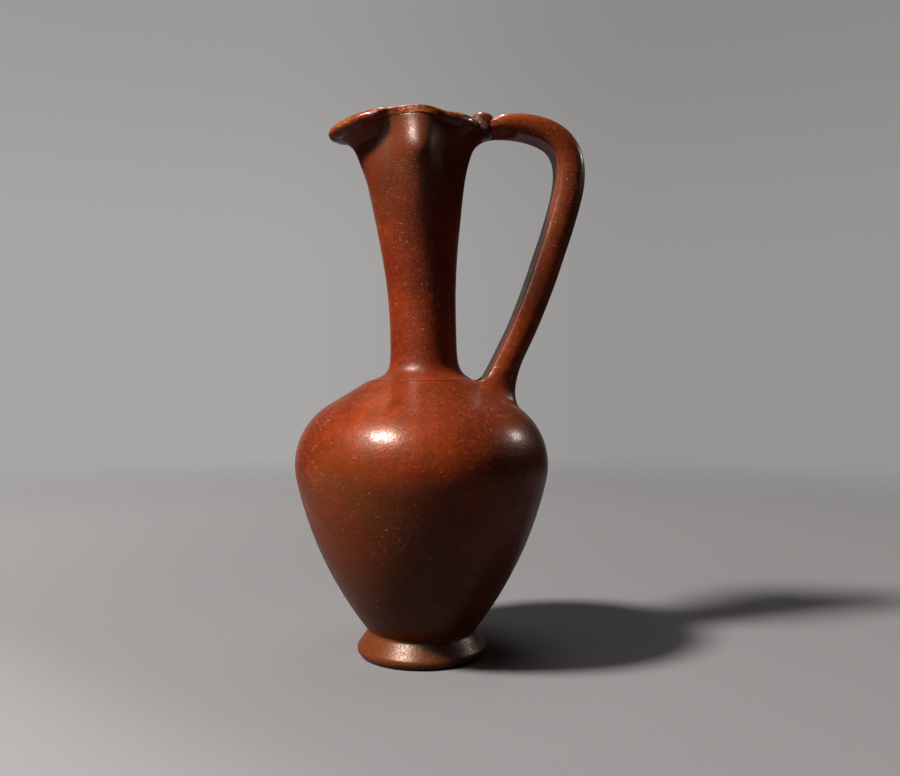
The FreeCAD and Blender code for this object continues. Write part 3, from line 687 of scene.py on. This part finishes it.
def bodyShape(s):
    waist = (footSizes["waist"], footSizes["height"])
    turn = math.radians(s["flankAngle"])
    pitch = math.radians(s["shoulderAngle"])
    centre = (s["bellyRadius"] - s["shoulderBend"], s["bellyHeight"])
    flankEnd = (centre[0] + s["shoulderBend"] * math.cos(turn),
                centre[1] - s["shoulderBend"] * math.sin(turn))
    run = (flankEnd[0] - waist[0], flankEnd[1] - waist[1])
    flank = (run[0] ** 2 + run[1] ** 2) / (2 * (run[0] * math.cos(turn) - run[1] * math.sin(turn)))
    flankCentre = (flankEnd[0] - flank * math.cos(turn), flankEnd[1] + flank * math.sin(turn))
    coneStart = (centre[0] + s["shoulderBend"] * math.sin(pitch),
                 centre[1] + s["shoulderBend"] * math.cos(pitch))
    seamHeight = coneStart[1] + (coneStart[0] - s["seamRadius"]) * math.tan(pitch)
    return {"waist": waist, "turn": turn, "pitch": pitch, "centre": centre, "flank": flank,
            "flankCentre": flankCentre, "cone": coneStart, "seamHeight": seamHeight,
            "opening": s["seamRadius"] - s["wall"] / math.sin(pitch)}


def bodyOutline(s):
    b = bodyShape(s)
    crown = math.pi / 2 - b["pitch"]
    outerStart = math.atan2(b["waist"][1] - b["flankCentre"][1],
                            b["waist"][0] - b["flankCentre"][0])
    inside = footSizes["height"] + s["floor"]
    inner = b["flank"] - s["wall"]
    floorTurn = math.asin((inside - b["flankCentre"][1]) / inner)
    floorEnd = (b["flankCentre"][0] + inner * math.cos(floorTurn), inside)
    along = (-math.cos(b["pitch"]), math.sin(b["pitch"]))
    coneIn = (b["centre"][0] + (s["shoulderBend"] - s["wall"]) * math.cos(crown),
              b["centre"][1] + (s["shoulderBend"] - s["wall"]) * math.sin(crown))
    lastCone = (s["seamRadius"] - along[0] * 0.9, b["seamHeight"] - along[1] * 0.9)
    return joinRuns(
        straightRun((0, b["waist"][1]), (b["waist"][0] - 1, b["waist"][1]), 8),
        arcRun(b["flankCentre"], b["flank"], outerStart, -b["turn"], 64),
        arcRun(b["centre"], s["shoulderBend"], -b["turn"], crown, 40),
        straightRun(b["cone"], lastCone, 16),
        # the edge that the neck is luted on is rubbed down, so a fine line shows there
        [(s["seamRadius"] + 0.3, b["seamHeight"] - 0.25),
         (s["seamRadius"] - 0.05, b["seamHeight"] - s["groove"] * 0.55),
         (s["seamRadius"] - 0.6, b["seamHeight"] - s["groove"])],
        straightRun((s["seamRadius"] - 1.6, b["seamHeight"] - 0.02),
                    (b["opening"], b["seamHeight"]), 4),
        straightRun((b["opening"], b["seamHeight"]), coneIn, 12),
        arcRun(b["centre"], s["shoulderBend"] - s["wall"], crown, -b["turn"], 30),
        arcRun(b["flankCentre"], inner, -b["turn"], floorTurn, 44),
        straightRun((floorEnd[0] - 1.5, inside), (0, inside), 8))


bodyForm = bodyShape(bodySizes)
turnOutline("thrownFoot", footOutline(footSizes), "foot", footSizes["unevenness"], 0.05, footSlip)
ovoid = turnOutline("thrownBody", bodyOutline(bodySizes), "body", bodySizes["unevenness"], 0.25,
                    burnishedSlip)


# Neck and mouth: columns of poles round the axis, each up the wall and out to the rim
neckSizes = {
    "radius": 16.05, "wall": 3.7, "throat": 96.6, "lean": 3.4, "around": 252, "along": 150,
    "poles": 36, "groove": 0.16, "unevenness": 0.26,
    "rows": [   # height up the throat, radius, lean
        (0.000, 1.610, 0.00), (0.010, 1.450, -0.25), (0.030, 1.190, -0.42), (0.070, 1.045, -0.32),
        (0.130, 1.000, -0.25), (0.230, 0.995, -0.20), (0.350, 1.002, -0.08), (0.470, 1.035, 0.08),
        (0.590, 1.105, 0.26), (0.710, 1.200, 0.45), (0.820, 1.300, 0.62), (0.920, 1.395, 0.77),
        (1.000, 1.480, 0.88)],
    "boreFlare": [1.00, 0.80, 0.42, 0.14, 0.02],
}
mouthSizes = {
    "rise": 25.2, "bead": 2.5,
    "reach": {"spout": 37.9, "cheek": 30.2, "pinch": 24.0, "lobe": 26.6, "hip": 25.6, "rear": 28.4,
              "back": 30.3},
    "drop": {"spout": 6.1, "cheek": 3.4, "pinch": -0.9, "lobe": -1.0, "hip": 2.1, "rear": 1.7,
             "back": 0.9},
    "swell": {"spout": 0, "cheek": -0.3, "pinch": -0.9, "lobe": 3.0, "hip": -0.2, "rear": 0,
              "back": 0},
    "swellFrom": 0.70,
    "turns": [(0.0, "back"), (30.0, "rear"), (57.0, "hip"), (85.0, "lobe"), (124.0, "pinch"),
              (150.0, "cheek"), (180.0, "spout")],
    "reachShares": {
        "spout": (0.700, 0.775, 0.885, 1), "cheek": (0.775, 0.765, 0.810, 1),
        "pinch": (0.950, 0.940, 0.920, 1),
        "lobe": (1.120, 1.150, 1.045, 1), "hip": (0.868, 0.893, 0.940, 1),
        "rear": (0.870, 0.920, 0.965, 1), "back": (0.840, 0.905, 0.966, 1)},
    "riseShares": {
        "spout": (0.36, 0.80, 0.93, 1), "cheek": (0.31, 0.68, 0.86, 1),
        "pinch": (0.26, 0.56, 0.80, 1),
        "lobe": (0.22, 0.44, 0.72, 1), "hip": (0.28, 0.55, 0.80, 1),
        "rear": (0.28, 0.55, 0.80, 1), "back": (0.28, 0.54, 0.79, 1)},
}
lipSizes = {
    "swelling": 0.22, "pitting": 0.14, "proud": 3.6, "unevenness": 0.35,
    "height": [   # turn from the back in degrees, and the bead's height there
        (0, 1.0), (52, 0.98), (68, 0.88), (84, 0.66), (104, 0.58), (122, 0.62), (144, 1.0),
        (180, 1.06)],
    "section": [   # outward and onward from the seat, shares of the bead's radius
        (0.62, -0.95), (1.06, -0.30), (1.28, 0.40), (1.22, 1.18), (0.66, 1.80), (-0.10, 1.92),
        (-0.80, 1.66), (-1.18, 1.02), (-1.05, 0.36), (-0.80, 0.00), (-0.40, -0.70)],
}
# a closed spline draws in from its poles, so they stand out by this share
gain = 6.0 / (4.0 + 2.0 * math.cos(2 * math.pi / neckSizes["poles"]))


def mouthColumn(part):
    rise = mouthSizes["rise"] - mouthSizes["drop"][part]
    return [(mouthSizes["reach"][part] * a, rise * b)
            for a, b in zip(mouthSizes["reachShares"][part], mouthSizes["riseShares"][part])]


def rimBlend(turn):
    folded = abs((turn + 180.0) % 360.0 - 180.0)
    for (startTurn, start), (endTurn, end) in zip(mouthSizes["turns"], mouthSizes["turns"][1:]):
        if folded <= endTurn:
            share = (folded - startTurn) / (endTurn - startTurn)
            return start, end, (1 - math.cos(math.pi * share)) / 2
    return start, end, 1.0


def neckColumns(s):
    base = bodyForm["seamHeight"]
    columns = []
    for index in range(s["poles"]):
        turn = 360.0 * index / s["poles"]
        start, end, share = rimBlend(turn)
        column = []
        swell = (mouthSizes["swell"][start]
                 + (mouthSizes["swell"][end] - mouthSizes["swell"][start]) * share)
        for heightShare, radiusShare, leanShare in s["rows"]:
            radius = s["radius"] * radiusShare if heightShare else bodySizes["seamRadius"]
            up = max(0, heightShare - mouthSizes["swellFrom"]) / (1 - mouthSizes["swellFrom"])
            radius += swell * up * up * (3 - 2 * up)
            column.append((radius * gain, base + s["throat"] * heightShare, -s["lean"] * leanShare))
        for first, second in zip(mouthColumn(start), mouthColumn(end)):
            column.append(((first[0] + (second[0] - first[0]) * share) * gain,
                           base + s["throat"] + first[1] + (second[1] - first[1]) * share,
                           -s["lean"]))
        columns.append((math.radians(turn), column))
    return columns


def inwardOf(column, row):
    below, above = column[max(row - 1, 0)], column[min(row + 1, len(column) - 1)]
    length = math.hypot(above[0] - below[0], above[1] - below[1])
    return (-(above[1] - below[1]) / length, (above[0] - below[0]) / length)


def boreColumn(column, s):
    opening = bodyForm["opening"]
    bore = s["radius"] - s["wall"]
    inner = []
    for row, (reach, height, lean) in enumerate(column):
        if row < len(s["boreFlare"]):
            inner.append(((bore + (opening - bore) * s["boreFlare"][row]) * gain, height, lean))
        else:
            inward = inwardOf(column, row)
            inner.append((reach + s["wall"] * inward[0], height + s["wall"] * inward[1], lean))
    return inner


def atAngle(angle, point):
    return (point[2] + point[0] * math.cos(angle), point[0] * math.sin(angle), point[1])


def wallGrid(columns, s):
    poles = np.array([[atAngle(angle, point) for point in column] for angle, column in columns])
    ringed = spline(poles, s["around"], True)
    return spline(ringed.transpose(1, 0, 2), s["along"], False)


def ringFaces(rows, around):
    faces = []
    for row in range(rows - 1):
        for column in range(around):
            after = (column + 1) % around
            faces.append((row * around + column, row * around + after,
                          (row + 1) * around + after, (row + 1) * around + column))
    return faces


def makeNeck(outerColumns, innerColumns, s):
    outer = wallGrid(outerColumns, s)
    inner = wallGrid(innerColumns, s)
    # a rubbed lower edge, level with the body's own
    base = outer[0, 0, 2]
    above = np.clip((outer[:, :, 2] - base) / 1.2, 0, 1)
    sink = s["groove"] * (1 - above) ** 3
    outer[:, :, :2] *= (1 - sink / np.hypot(outer[:, :, 0], outer[:, :, 1]))[..., None]
    loop = np.concatenate([outer, inner[::-1], outer[:1]])
    rows, around = loop.shape[:2]
    faces = ringFaces(rows, around)
    host = addPiece("neckHost", loop.reshape(-1, 3) * mm, faces)
    piece = grow("thrownNeck", host, finishTree, {
        "Unevenness": s["unevenness"] * mm, "Material": neckSlip})
    seat(piece, "neck")
    return piece


# A guide curve whose radius and tilt carry a share each
def guideCurve(name, points, closed, radii=None, tilts=None):
    curve = bpy.data.curves.new(name, "CURVE")
    curve.dimensions = "3D"
    curve.resolution_u = 16
    line = curve.splines.new("NURBS")
    line.points.add(len(points) - 1)
    for index, point in enumerate(points):
        line.points[index].co = (point[0] * mm, point[1] * mm, point[2] * mm, 1)
        line.points[index].radius = radii[index] if radii else 1
        line.points[index].tilt = tilts[index] if tilts else 0
    line.use_cyclic_u = closed
    line.order_u = 4
    line.use_endpoint_u = not closed
    return addObject(name, curve)


def makeLip(outerColumns, innerColumns, s):
    path, leans, rolls = [], [], []
    for (angle, column), (_, bore) in zip(outerColumns, innerColumns):
        turn = abs((math.degrees(angle) + 180) % 360 - 180)
        rolls.append(float(np.interp(turn, *zip(*s["height"]))))
        edge, inside = column[-1], bore[-1]
        path.append(atAngle(angle, ((edge[0] + inside[0]) / 2, (edge[1] + inside[1]) / 2, edge[2])))
        inward = inwardOf(column, len(column) - 1)
        leans.append(math.atan2(inward[1], -inward[0]))
    bead = mouthSizes["bead"]
    rim = guideCurve("rimPath", path, True, radii=rolls, tilts=leans)
    section = guideCurve("beadSection", [(a * bead, b * bead, 0) for a, b in s["section"]], True)
    empty = addPiece("lipHost", [(0, 0, 0)], [])
    piece = grow("rolledLip", empty, beadTree, {
        "Path": rim, "Section": section, "Swelling": s["swelling"], "Pitting": s["pitting"],
        "Flush": (neckSizes["wall"] / 2 + 0.1) * mm, "Proud": s["proud"] * mm,
        "Unevenness": s["unevenness"] * mm, "Material": wornShadedSlip})
    bpy.data.objects.remove(rim)
    bpy.data.objects.remove(section)
    seat(piece, "lip")
    return piece


outerColumns = neckColumns(neckSizes)
innerColumns = [(angle, boreColumn(column, neckSizes)) for angle, column in outerColumns]
neck = makeNeck(outerColumns, innerColumns, neckSizes)
lip = makeLip(outerColumns, innerColumns, lipSizes)


# Strap handle
handleSizes = {
    "width": 15.6, "thickness": 12.7, "set": 0.6, "hang": 1.2, "bulge": 38.1, "rootSet": 0.7,
    "sink": 0.95, "twist": 0.075, "unevenness": 0.4,
    "section": [   # half of the strap's section: half width, thickness
        (0.00, 0.00), (0.46, 0.00), (0.76, -0.01), (0.88, 0.03), (1.02, 0.30), (1.01, 0.62),
        (0.82, 0.90), (0.44, 1.05), (0.00, 1.08)],
    "run": [       # inner face: bulge, drop, thickness, width
        (0.000, 0.010, 0.44, 1.00), (0.090, 0.006, 0.47, 1.00), (0.190, 0.001, 0.53, 1.00),
        (0.280, 0.000, 0.74, 0.98), (0.400, 0.000, 0.78, 0.98), (0.590, 0.006, 0.84, 0.98),
        (0.810, 0.026, 0.90, 1.00), (0.961, 0.060, 0.97, 1.02), (1.022, 0.125, 1.02, 1.03),
        (1.004, 0.205, 1.01, 1.02), (0.906, 0.320, 0.99, 1.00), (0.749, 0.470, 0.99, 0.98),
        (0.573, 0.630, 0.98, 0.97), (0.395, 0.765, 0.95, 0.98), (0.237, 0.865, 0.94, 1.00),
        (0.109, 0.940, 0.96, 1.03), (0.000, 1.000, 1.00, 1.06)],
}


def handlePath(s):
    seam = bodyForm["seamHeight"]
    rimBack = seam + neckSizes["throat"] + mouthColumn("back")[-1][1]
    start = mouthSizes["reach"]["back"] - neckSizes["lean"] + s["set"]
    end = bodySizes["seamRadius"] + s["rootSet"]
    top = rimBack - s["hang"]
    drop = top - seam + bodySizes["wall"] * s["sink"]
    return [(start + (end - start) * down + s["bulge"] * bulge, 0, top - drop * down)
            for bulge, down, thick, wide in s["run"]]


def strapSection(s):
    half = [(a * s["width"] / 2, b * s["thickness"]) for a, b in s["section"]]
    return [(a, b - a * s["twist"]) for a, b in half + [(-a, b) for a, b in half[-2:0:-1]]]


def makeHandle(s):
    path = guideCurve("strapPath", handlePath(s), False,
                      [row[2] for row in s["run"]], [row[3] for row in s["run"]])
    section = guideCurve("strapSection", [(a, b, 0) for a, b in strapSection(s)], True)
    empty = addPiece("handleHost", [(0, 0, 0)], [])
    piece = grow("strapHandle", empty, strapTree, {
        "Path": path, "Section": section, "Unevenness": s["unevenness"] * mm,
        "Material": strapSlip})
    bpy.data.objects.remove(path)
    bpy.data.objects.remove(section)
    seat(piece, "handle")


makeHandle(handleSizes)


# Clay pressed round the handle's ends, and the knob
rootSizes = {   # inner face, sides and outer face of the strap
    "start": (0.7, 13.0, 24.0), "spread": (9.0, 6.4, 10.5), "lead": (0.02, 0.40, 0.32),
    "flat": (0.55, 0.40, 0.30),
}
topSizes = {
    "start": (18.5, 10.0, 1.5), "spread": (10.6, 4.6, 0.8), "lead": (0.42, 0.45, 0.45),
    "flat": (0.42, 0.45, 0.4),
}
knobSizes = {
    "centre": (29.2, 0.0, 254.4), "length": 13.2, "topWidth": 15.6, "lowWidth": 20.5,
    "height": 14.8, "tail": 1.40, "square": 0.78, "lumps": 0.05, "pits": 0.012, "grit": 0.012,
    "fullness": 0.9, "seed": 4.7,
}


def treeOf(pieces):
    points, faces = [], []
    for piece in pieces:
        start = len(points)
        points.extend(v.co.copy() for v in piece.data.vertices)
        faces.extend([start + i for i in p.vertices] for p in piece.data.polygons)
    return BVHTree.FromPolygons(points, faces)


def unit(values):
    return values / np.maximum(np.linalg.norm(values, axis=-1, keepdims=True), 1e-12)


# The strap's surface as lines along it, with directions across its section and along it
def strapLines(s, around):
    steps = 600
    path = spline(handlePath(s), steps, False)
    shares = spline([(row[2], row[3]) for row in s["run"]], steps, False)
    along = unit(np.gradient(path, axis=0))
    out = np.stack([-along[:, 2], np.zeros(steps), along[:, 0]], 1)
    side = np.array([0.0, 1.0, 0.0])
    section = spline(strapSection(s), around, True)
    step = np.roll(section, -1, 0) - np.roll(section, 1, 0)
    facing = unit(np.stack([step[:, 1], -step[:, 0]], 1))
    if (facing * (section - section.mean(0))).sum() < 0:
        facing = -facing
    surface = (path[:, None] + side * (section[:, 0] * shares[:, 1:2])[..., None]
               + out[:, None] * (section[:, 1] * shares[:, 0:1])[..., None])
    normal = side * facing[None, :, 0:1] + out[:, None] * facing[None, :, 1:2]
    return surface * mm, normal, along, facing[:, 1]


def evenRound(values, passes):
    for _ in range(passes):
        values = (np.roll(values, 1, 0) + values * 2 + np.roll(values, -1, 0)) / 4
    return values


# A skirt of clay from the strap down to what it is luted on, touching both without a step
def luting(name, nodeName, s, targets, fromStart, around=120, rings=16):
    surface, normal, along, facing = strapLines(handleSizes, around)
    target = treeOf(targets)
    order = range(len(surface))[::-1 if fromStart else 1]
    step = 1 if fromStart else -1
    low, high = np.clip(-facing, 0, 1) ** 2, np.clip(facing, 0, 1) ** 2

    def sized(key):
        return s[key][0] * low + s[key][1] * (1 - low - high) + s[key][2] * high

    reach, spread = sized("start") * mm, sized("spread") * mm
    lead, flat = sized("lead")[:, None], sized("flat")[:, None]
    crossings, starts, ways, heads = [], [], [], []
    for u in range(around):
        # where this line of the strap goes into what carries it, and the skirt's start above
        found = order[-1]
        for index in order[len(order) // 2:]:
            point = Vector(surface[index, u])
            spot, facingOut, _, _ = target.find_nearest(point)
            if (point - spot).dot(facingOut) < 0:
                found = index
                break
        back, gone = found, 0.0
        while gone < reach[u]:
            gone += np.linalg.norm(surface[back + step, u] - surface[back, u])
            back += step
        crossings.append(surface[found, u])
        starts.append(surface[back, u])
        ways.append(along[back] * -step)
        heads.append(normal[back, u])
    crossings = evenRound(np.array(crossings), 3)
    starts = evenRound(np.array(starts), 3)
    ways, heads = unit(evenRound(np.array(ways), 3)), np.array(heads)
    feet, up = [], []
    for u in range(around):
        aim = Vector(crossings[u] + heads[u] * spread[u])
        spot, facingOut, _, _ = target.find_nearest(aim)
        feet.append(spot)
        up.append(facingOut)
    feet = evenRound(np.array(feet), 3)
    up = unit(evenRound(np.array(up), 3))
    toward = crossings - feet
    toward = unit(toward - (toward * up).sum(1, keepdims=True) * up)
    length = np.linalg.norm(starts - feet, axis=1, keepdims=True)
    first = starts + ways * length * lead
    second = feet + toward * length * flat
    rows = [starts - ways * 0.8 * mm - heads * 0.3 * mm]
    for t in np.linspace(0, 1, rings):
        rows.append(starts * (1 - t) ** 3 + first * 3 * t * (1 - t) ** 2
                    + second * 3 * t ** 2 * (1 - t) + feet * t ** 3)
    rows.append(feet - toward * 0.8 * mm - up * 0.35 * mm)
    points = np.concatenate(rows)
    faces = ringFaces(len(rows), around)
    last = (len(rows) - 1) * around
    points = np.concatenate([points, rows[0].mean(0)[None], rows[-1].mean(0)[None]])
    for column in range(around):
        after = (column + 1) % around
        faces.append((column, len(points) - 2, after))
        faces.append((last + after, len(points) - 1, last + column))
    if fromStart:
        faces = [face[::-1] for face in faces]
    host = addPiece(name + "Host", points, faces)
    piece = grow(name, host, finishTree, {"Unevenness": 0.0, "Material": neckSlip})
    seat(piece, nodeName)


def makeKnob(s):
    shape = bmesh.new()
    bmesh.ops.create_icosphere(shape, subdivisions=6, radius=1)
    centre = Vector(s["centre"])
    for vert in shape.verts:
        way = vert.co.copy()
        lump = noise.noise(way * 1.3 + Vector((s["seed"], 0, 0))) * s["lumps"]
        pit = min(0, noise.noise(way * 5.2 + Vector((0, s["seed"], 0))) + 0.1) * s["pits"]
        grit = noise.noise(way * 11 + Vector((0, 0, s["seed"]))) * s["grit"]
        size = (1 + lump + pit + grit) * s["fullness"]
        # squarer than a ball, wider below and drawn out towards the lip
        x, y, z = (math.copysign(abs(v) ** s["square"], v) for v in way)
        tail = 1 + (s["tail"] - 1) * max(0, -way.x) ** 2 * (1 - max(0, way.z))
        narrow = min(1, max(0, 0.5 + 0.9 * way.z))
        narrow *= narrow * (3 - 2 * narrow)
        width = s["lowWidth"] + (s["topWidth"] - s["lowWidth"]) * narrow
        vert.co = (centre + Vector((x * s["length"] / 2 * tail, y * width / 2,
                                    z * s["height"] / 2)) * size) * mm
    mesh = bpy.data.meshes.new("knobHost")
    shape.to_mesh(mesh)
    shape.free()
    piece = grow("pressedKnob", addObject("knobHost", mesh), finishTree, {
        "Unevenness": 0.0, "Material": knobSlip})
    seat(piece, "rim_knob")


luting("rootLuting", "handle_root_wad", rootSizes, [ovoid, neck], False)
luting("topLuting", "handle_top_wad", topSizes, [neck, lip], True)
makeKnob(knobSizes)


# Camera, floor, lamps and backdrop
cameraSizes = {"place": (-22.66, -414.6, 127.4), "turn": -5.0, "lens": 34.28}
camera = addObject("camera", bpy.data.cameras.new("camera"))
camera.location = Vector(cameraSizes["place"]) * mm
camera.rotation_euler = (math.pi / 2, 0, math.radians(cameraSizes["turn"]))
camera.data.lens = cameraSizes["lens"]
camera.data.sensor_width = 36
camera.data.sensor_fit = "HORIZONTAL"
camera.data.clip_start = 0.01
bpy.context.scene.camera = camera

studioSizes = {
    "floorTone": (0.36, 0.343, 0.339), "backTone": (0.335, 0.328, 0.324),
    "ambient": 0.006, "bounce": 0.17, "mirrored": 0.30, "backShare": 0.7,
    "leftShare": 1.17, "rightShare": 0.91, "topShare": 0.84,
    # direction from the jug, distance and size in metres, power
    "key": ((-0.525, -0.43, 0.735), 1.3, (0.46, 0.30), 42.0),
    "side": ((-0.631, -0.222, 0.744), 2.2, (0.36, 0.36), 57.0),
    "right": ((0.852, 0.230, 0.447), 2.2, (0.34, 0.29), 8.8),
    "top": ((-0.03, 0.465, 0.884), 2.2, (0.16, 0.20), 20.0),
    "gleam": (1.0, 0.87, 0.77),
    "sky": ((0.05, 0.10, 1.0), 2.2, (1.2, 1.2), 5.2),
}


# Where the studio is seen: by the camera, or at a share by gloss and coat
def seenShare(tree, share, where=1.0):
    rays = node(tree, "ShaderNodeLightPath").outputs
    mirrored = calc(tree, "MAXIMUM", rays["Is Glossy Ray"], rays["Is Transmission Ray"])
    mirrored = calc(tree, "MULTIPLY", calc(tree, "MULTIPLY", mirrored, share), where)
    return calc(tree, "MAXIMUM", rays["Is Camera Ray"], mirrored)


floor = addPiece("floor", [(-40, -40, 0), (40, -40, 0), (40, 40, 0), (-40, 40, 0)], [(0, 1, 2, 3)])


def addLight(name, way, distance, size, power):
    lamp = addObject(name, bpy.data.lights.new(name, "AREA"))
    lamp.data.shape = "ELLIPSE"
    lamp.data.size, lamp.data.size_y = size
    lamp.data.energy = power
    way = Vector(way).normalized()
    lamp.location = way * distance + Vector((0, 0, 0.12))
    lamp.rotation_euler = (-way).to_track_quat("-Z", "Y").to_euler()


for name in ("key", "side", "right", "top", "sky"):
    addLight(name + "Light", *studioSizes[name])
# one light shades the clay and throws the shadow, the other one is the gleam on it
for name in ("side", "sky"):
    bpy.data.objects[name + "Light"].visible_glossy = False
for name in ("key", "right", "top"):
    bpy.data.objects[name + "Light"].visible_diffuse = False
    bpy.data.objects[name + "Light"].data.color = studioSizes["gleam"]

# The floor fades into the backdrop's tone with distance from the jug
floorPaint, tree, shader, place = startMaterial("floorPaint")
grit = ramp(tree, noiseOf(tree, place, 900.0, 3.0), 0.3, 0.7, 0.97, 1.03)
tone = node(tree, "ShaderNodeCombineColor", {0: grit, 1: grit, 2: grit}).outputs[0]
tone = mixed(tree, 1.0, studioSizes["floorTone"], tone, "MULTIPLY")
away = vector(tree, "LENGTH", scaled(tree, place, 1, 1, 0))
# lighter further from the jug, so the floor stays even, and a painted pool of light towards the
# front left
far = ramp(tree, away, 0.14, 0.60, 1.0, 1.16)
near = ramp(tree, vector(tree, "DOT_PRODUCT", place, (-1.0, -1.0, 0.0)), 0.13, 0.27, 1.0, 1.30)
lift = calc(tree, "MULTIPLY", far, near)
tone = vector(tree, "SCALE", tone, lift)
seen = seenShare(tree, studioSizes["mirrored"])
dim = tuple(v * studioSizes["bounce"] for v in studioSizes["floorTone"])
feed(tree, shader.inputs["Base Color"], mixed(tree, seen, dim, tone))
shader.inputs["Roughness"].default_value = 0.9
shader.inputs["Specular IOR Level"].default_value = 0.1
clear = node(tree, "ShaderNodeBsdfTransparent")
fade = node(tree, "ShaderNodeMixShader", {0: ramp(tree, away, 0.32, 1.25), 1: shader.outputs[0],
                                          2: clear.outputs[0]})
feed(tree, tree.nodes["Material Output"].inputs["Surface"], fade.outputs[0])
floor.data.materials.append(floorPaint)

world = bpy.data.worlds.new("studio")
bpy.context.scene.world = world
world.use_nodes = True
tree = world.node_tree
# the backdrop is a little darker to the right and at the top, a painted fall-off of the lamps'
# light, and stands behind the jug only
way = split(tree, tree.nodes.new("ShaderNodeTexCoord").outputs["Generated"])
across = ramp(tree, way["X"], -0.15, 0.31, studioSizes["leftShare"], studioSizes["rightShare"])
upward = ramp(tree, way["Z"], 0.12, 0.42, 1.0, studioSizes["topShare"])
tint = calc(tree, "MULTIPLY", across, upward)
seen = seenShare(tree, studioSizes["backShare"], ramp(tree, way["Y"], 0.75, 1.0))
ambient = studioSizes["ambient"] / 0.33
lit = calc(tree, "MULTIPLY", seen, calc(tree, "SUBTRACT", tint, ambient))
strength = calc(tree, "ADD", ambient, lit)
background = tree.nodes["Background"]
background.inputs["Color"].default_value = (*studioSizes["backTone"], 1)
feed(tree, background.inputs["Strength"], strength)
bpy.context.scene.view_settings.view_transform = "Standard"
print("studio ready")
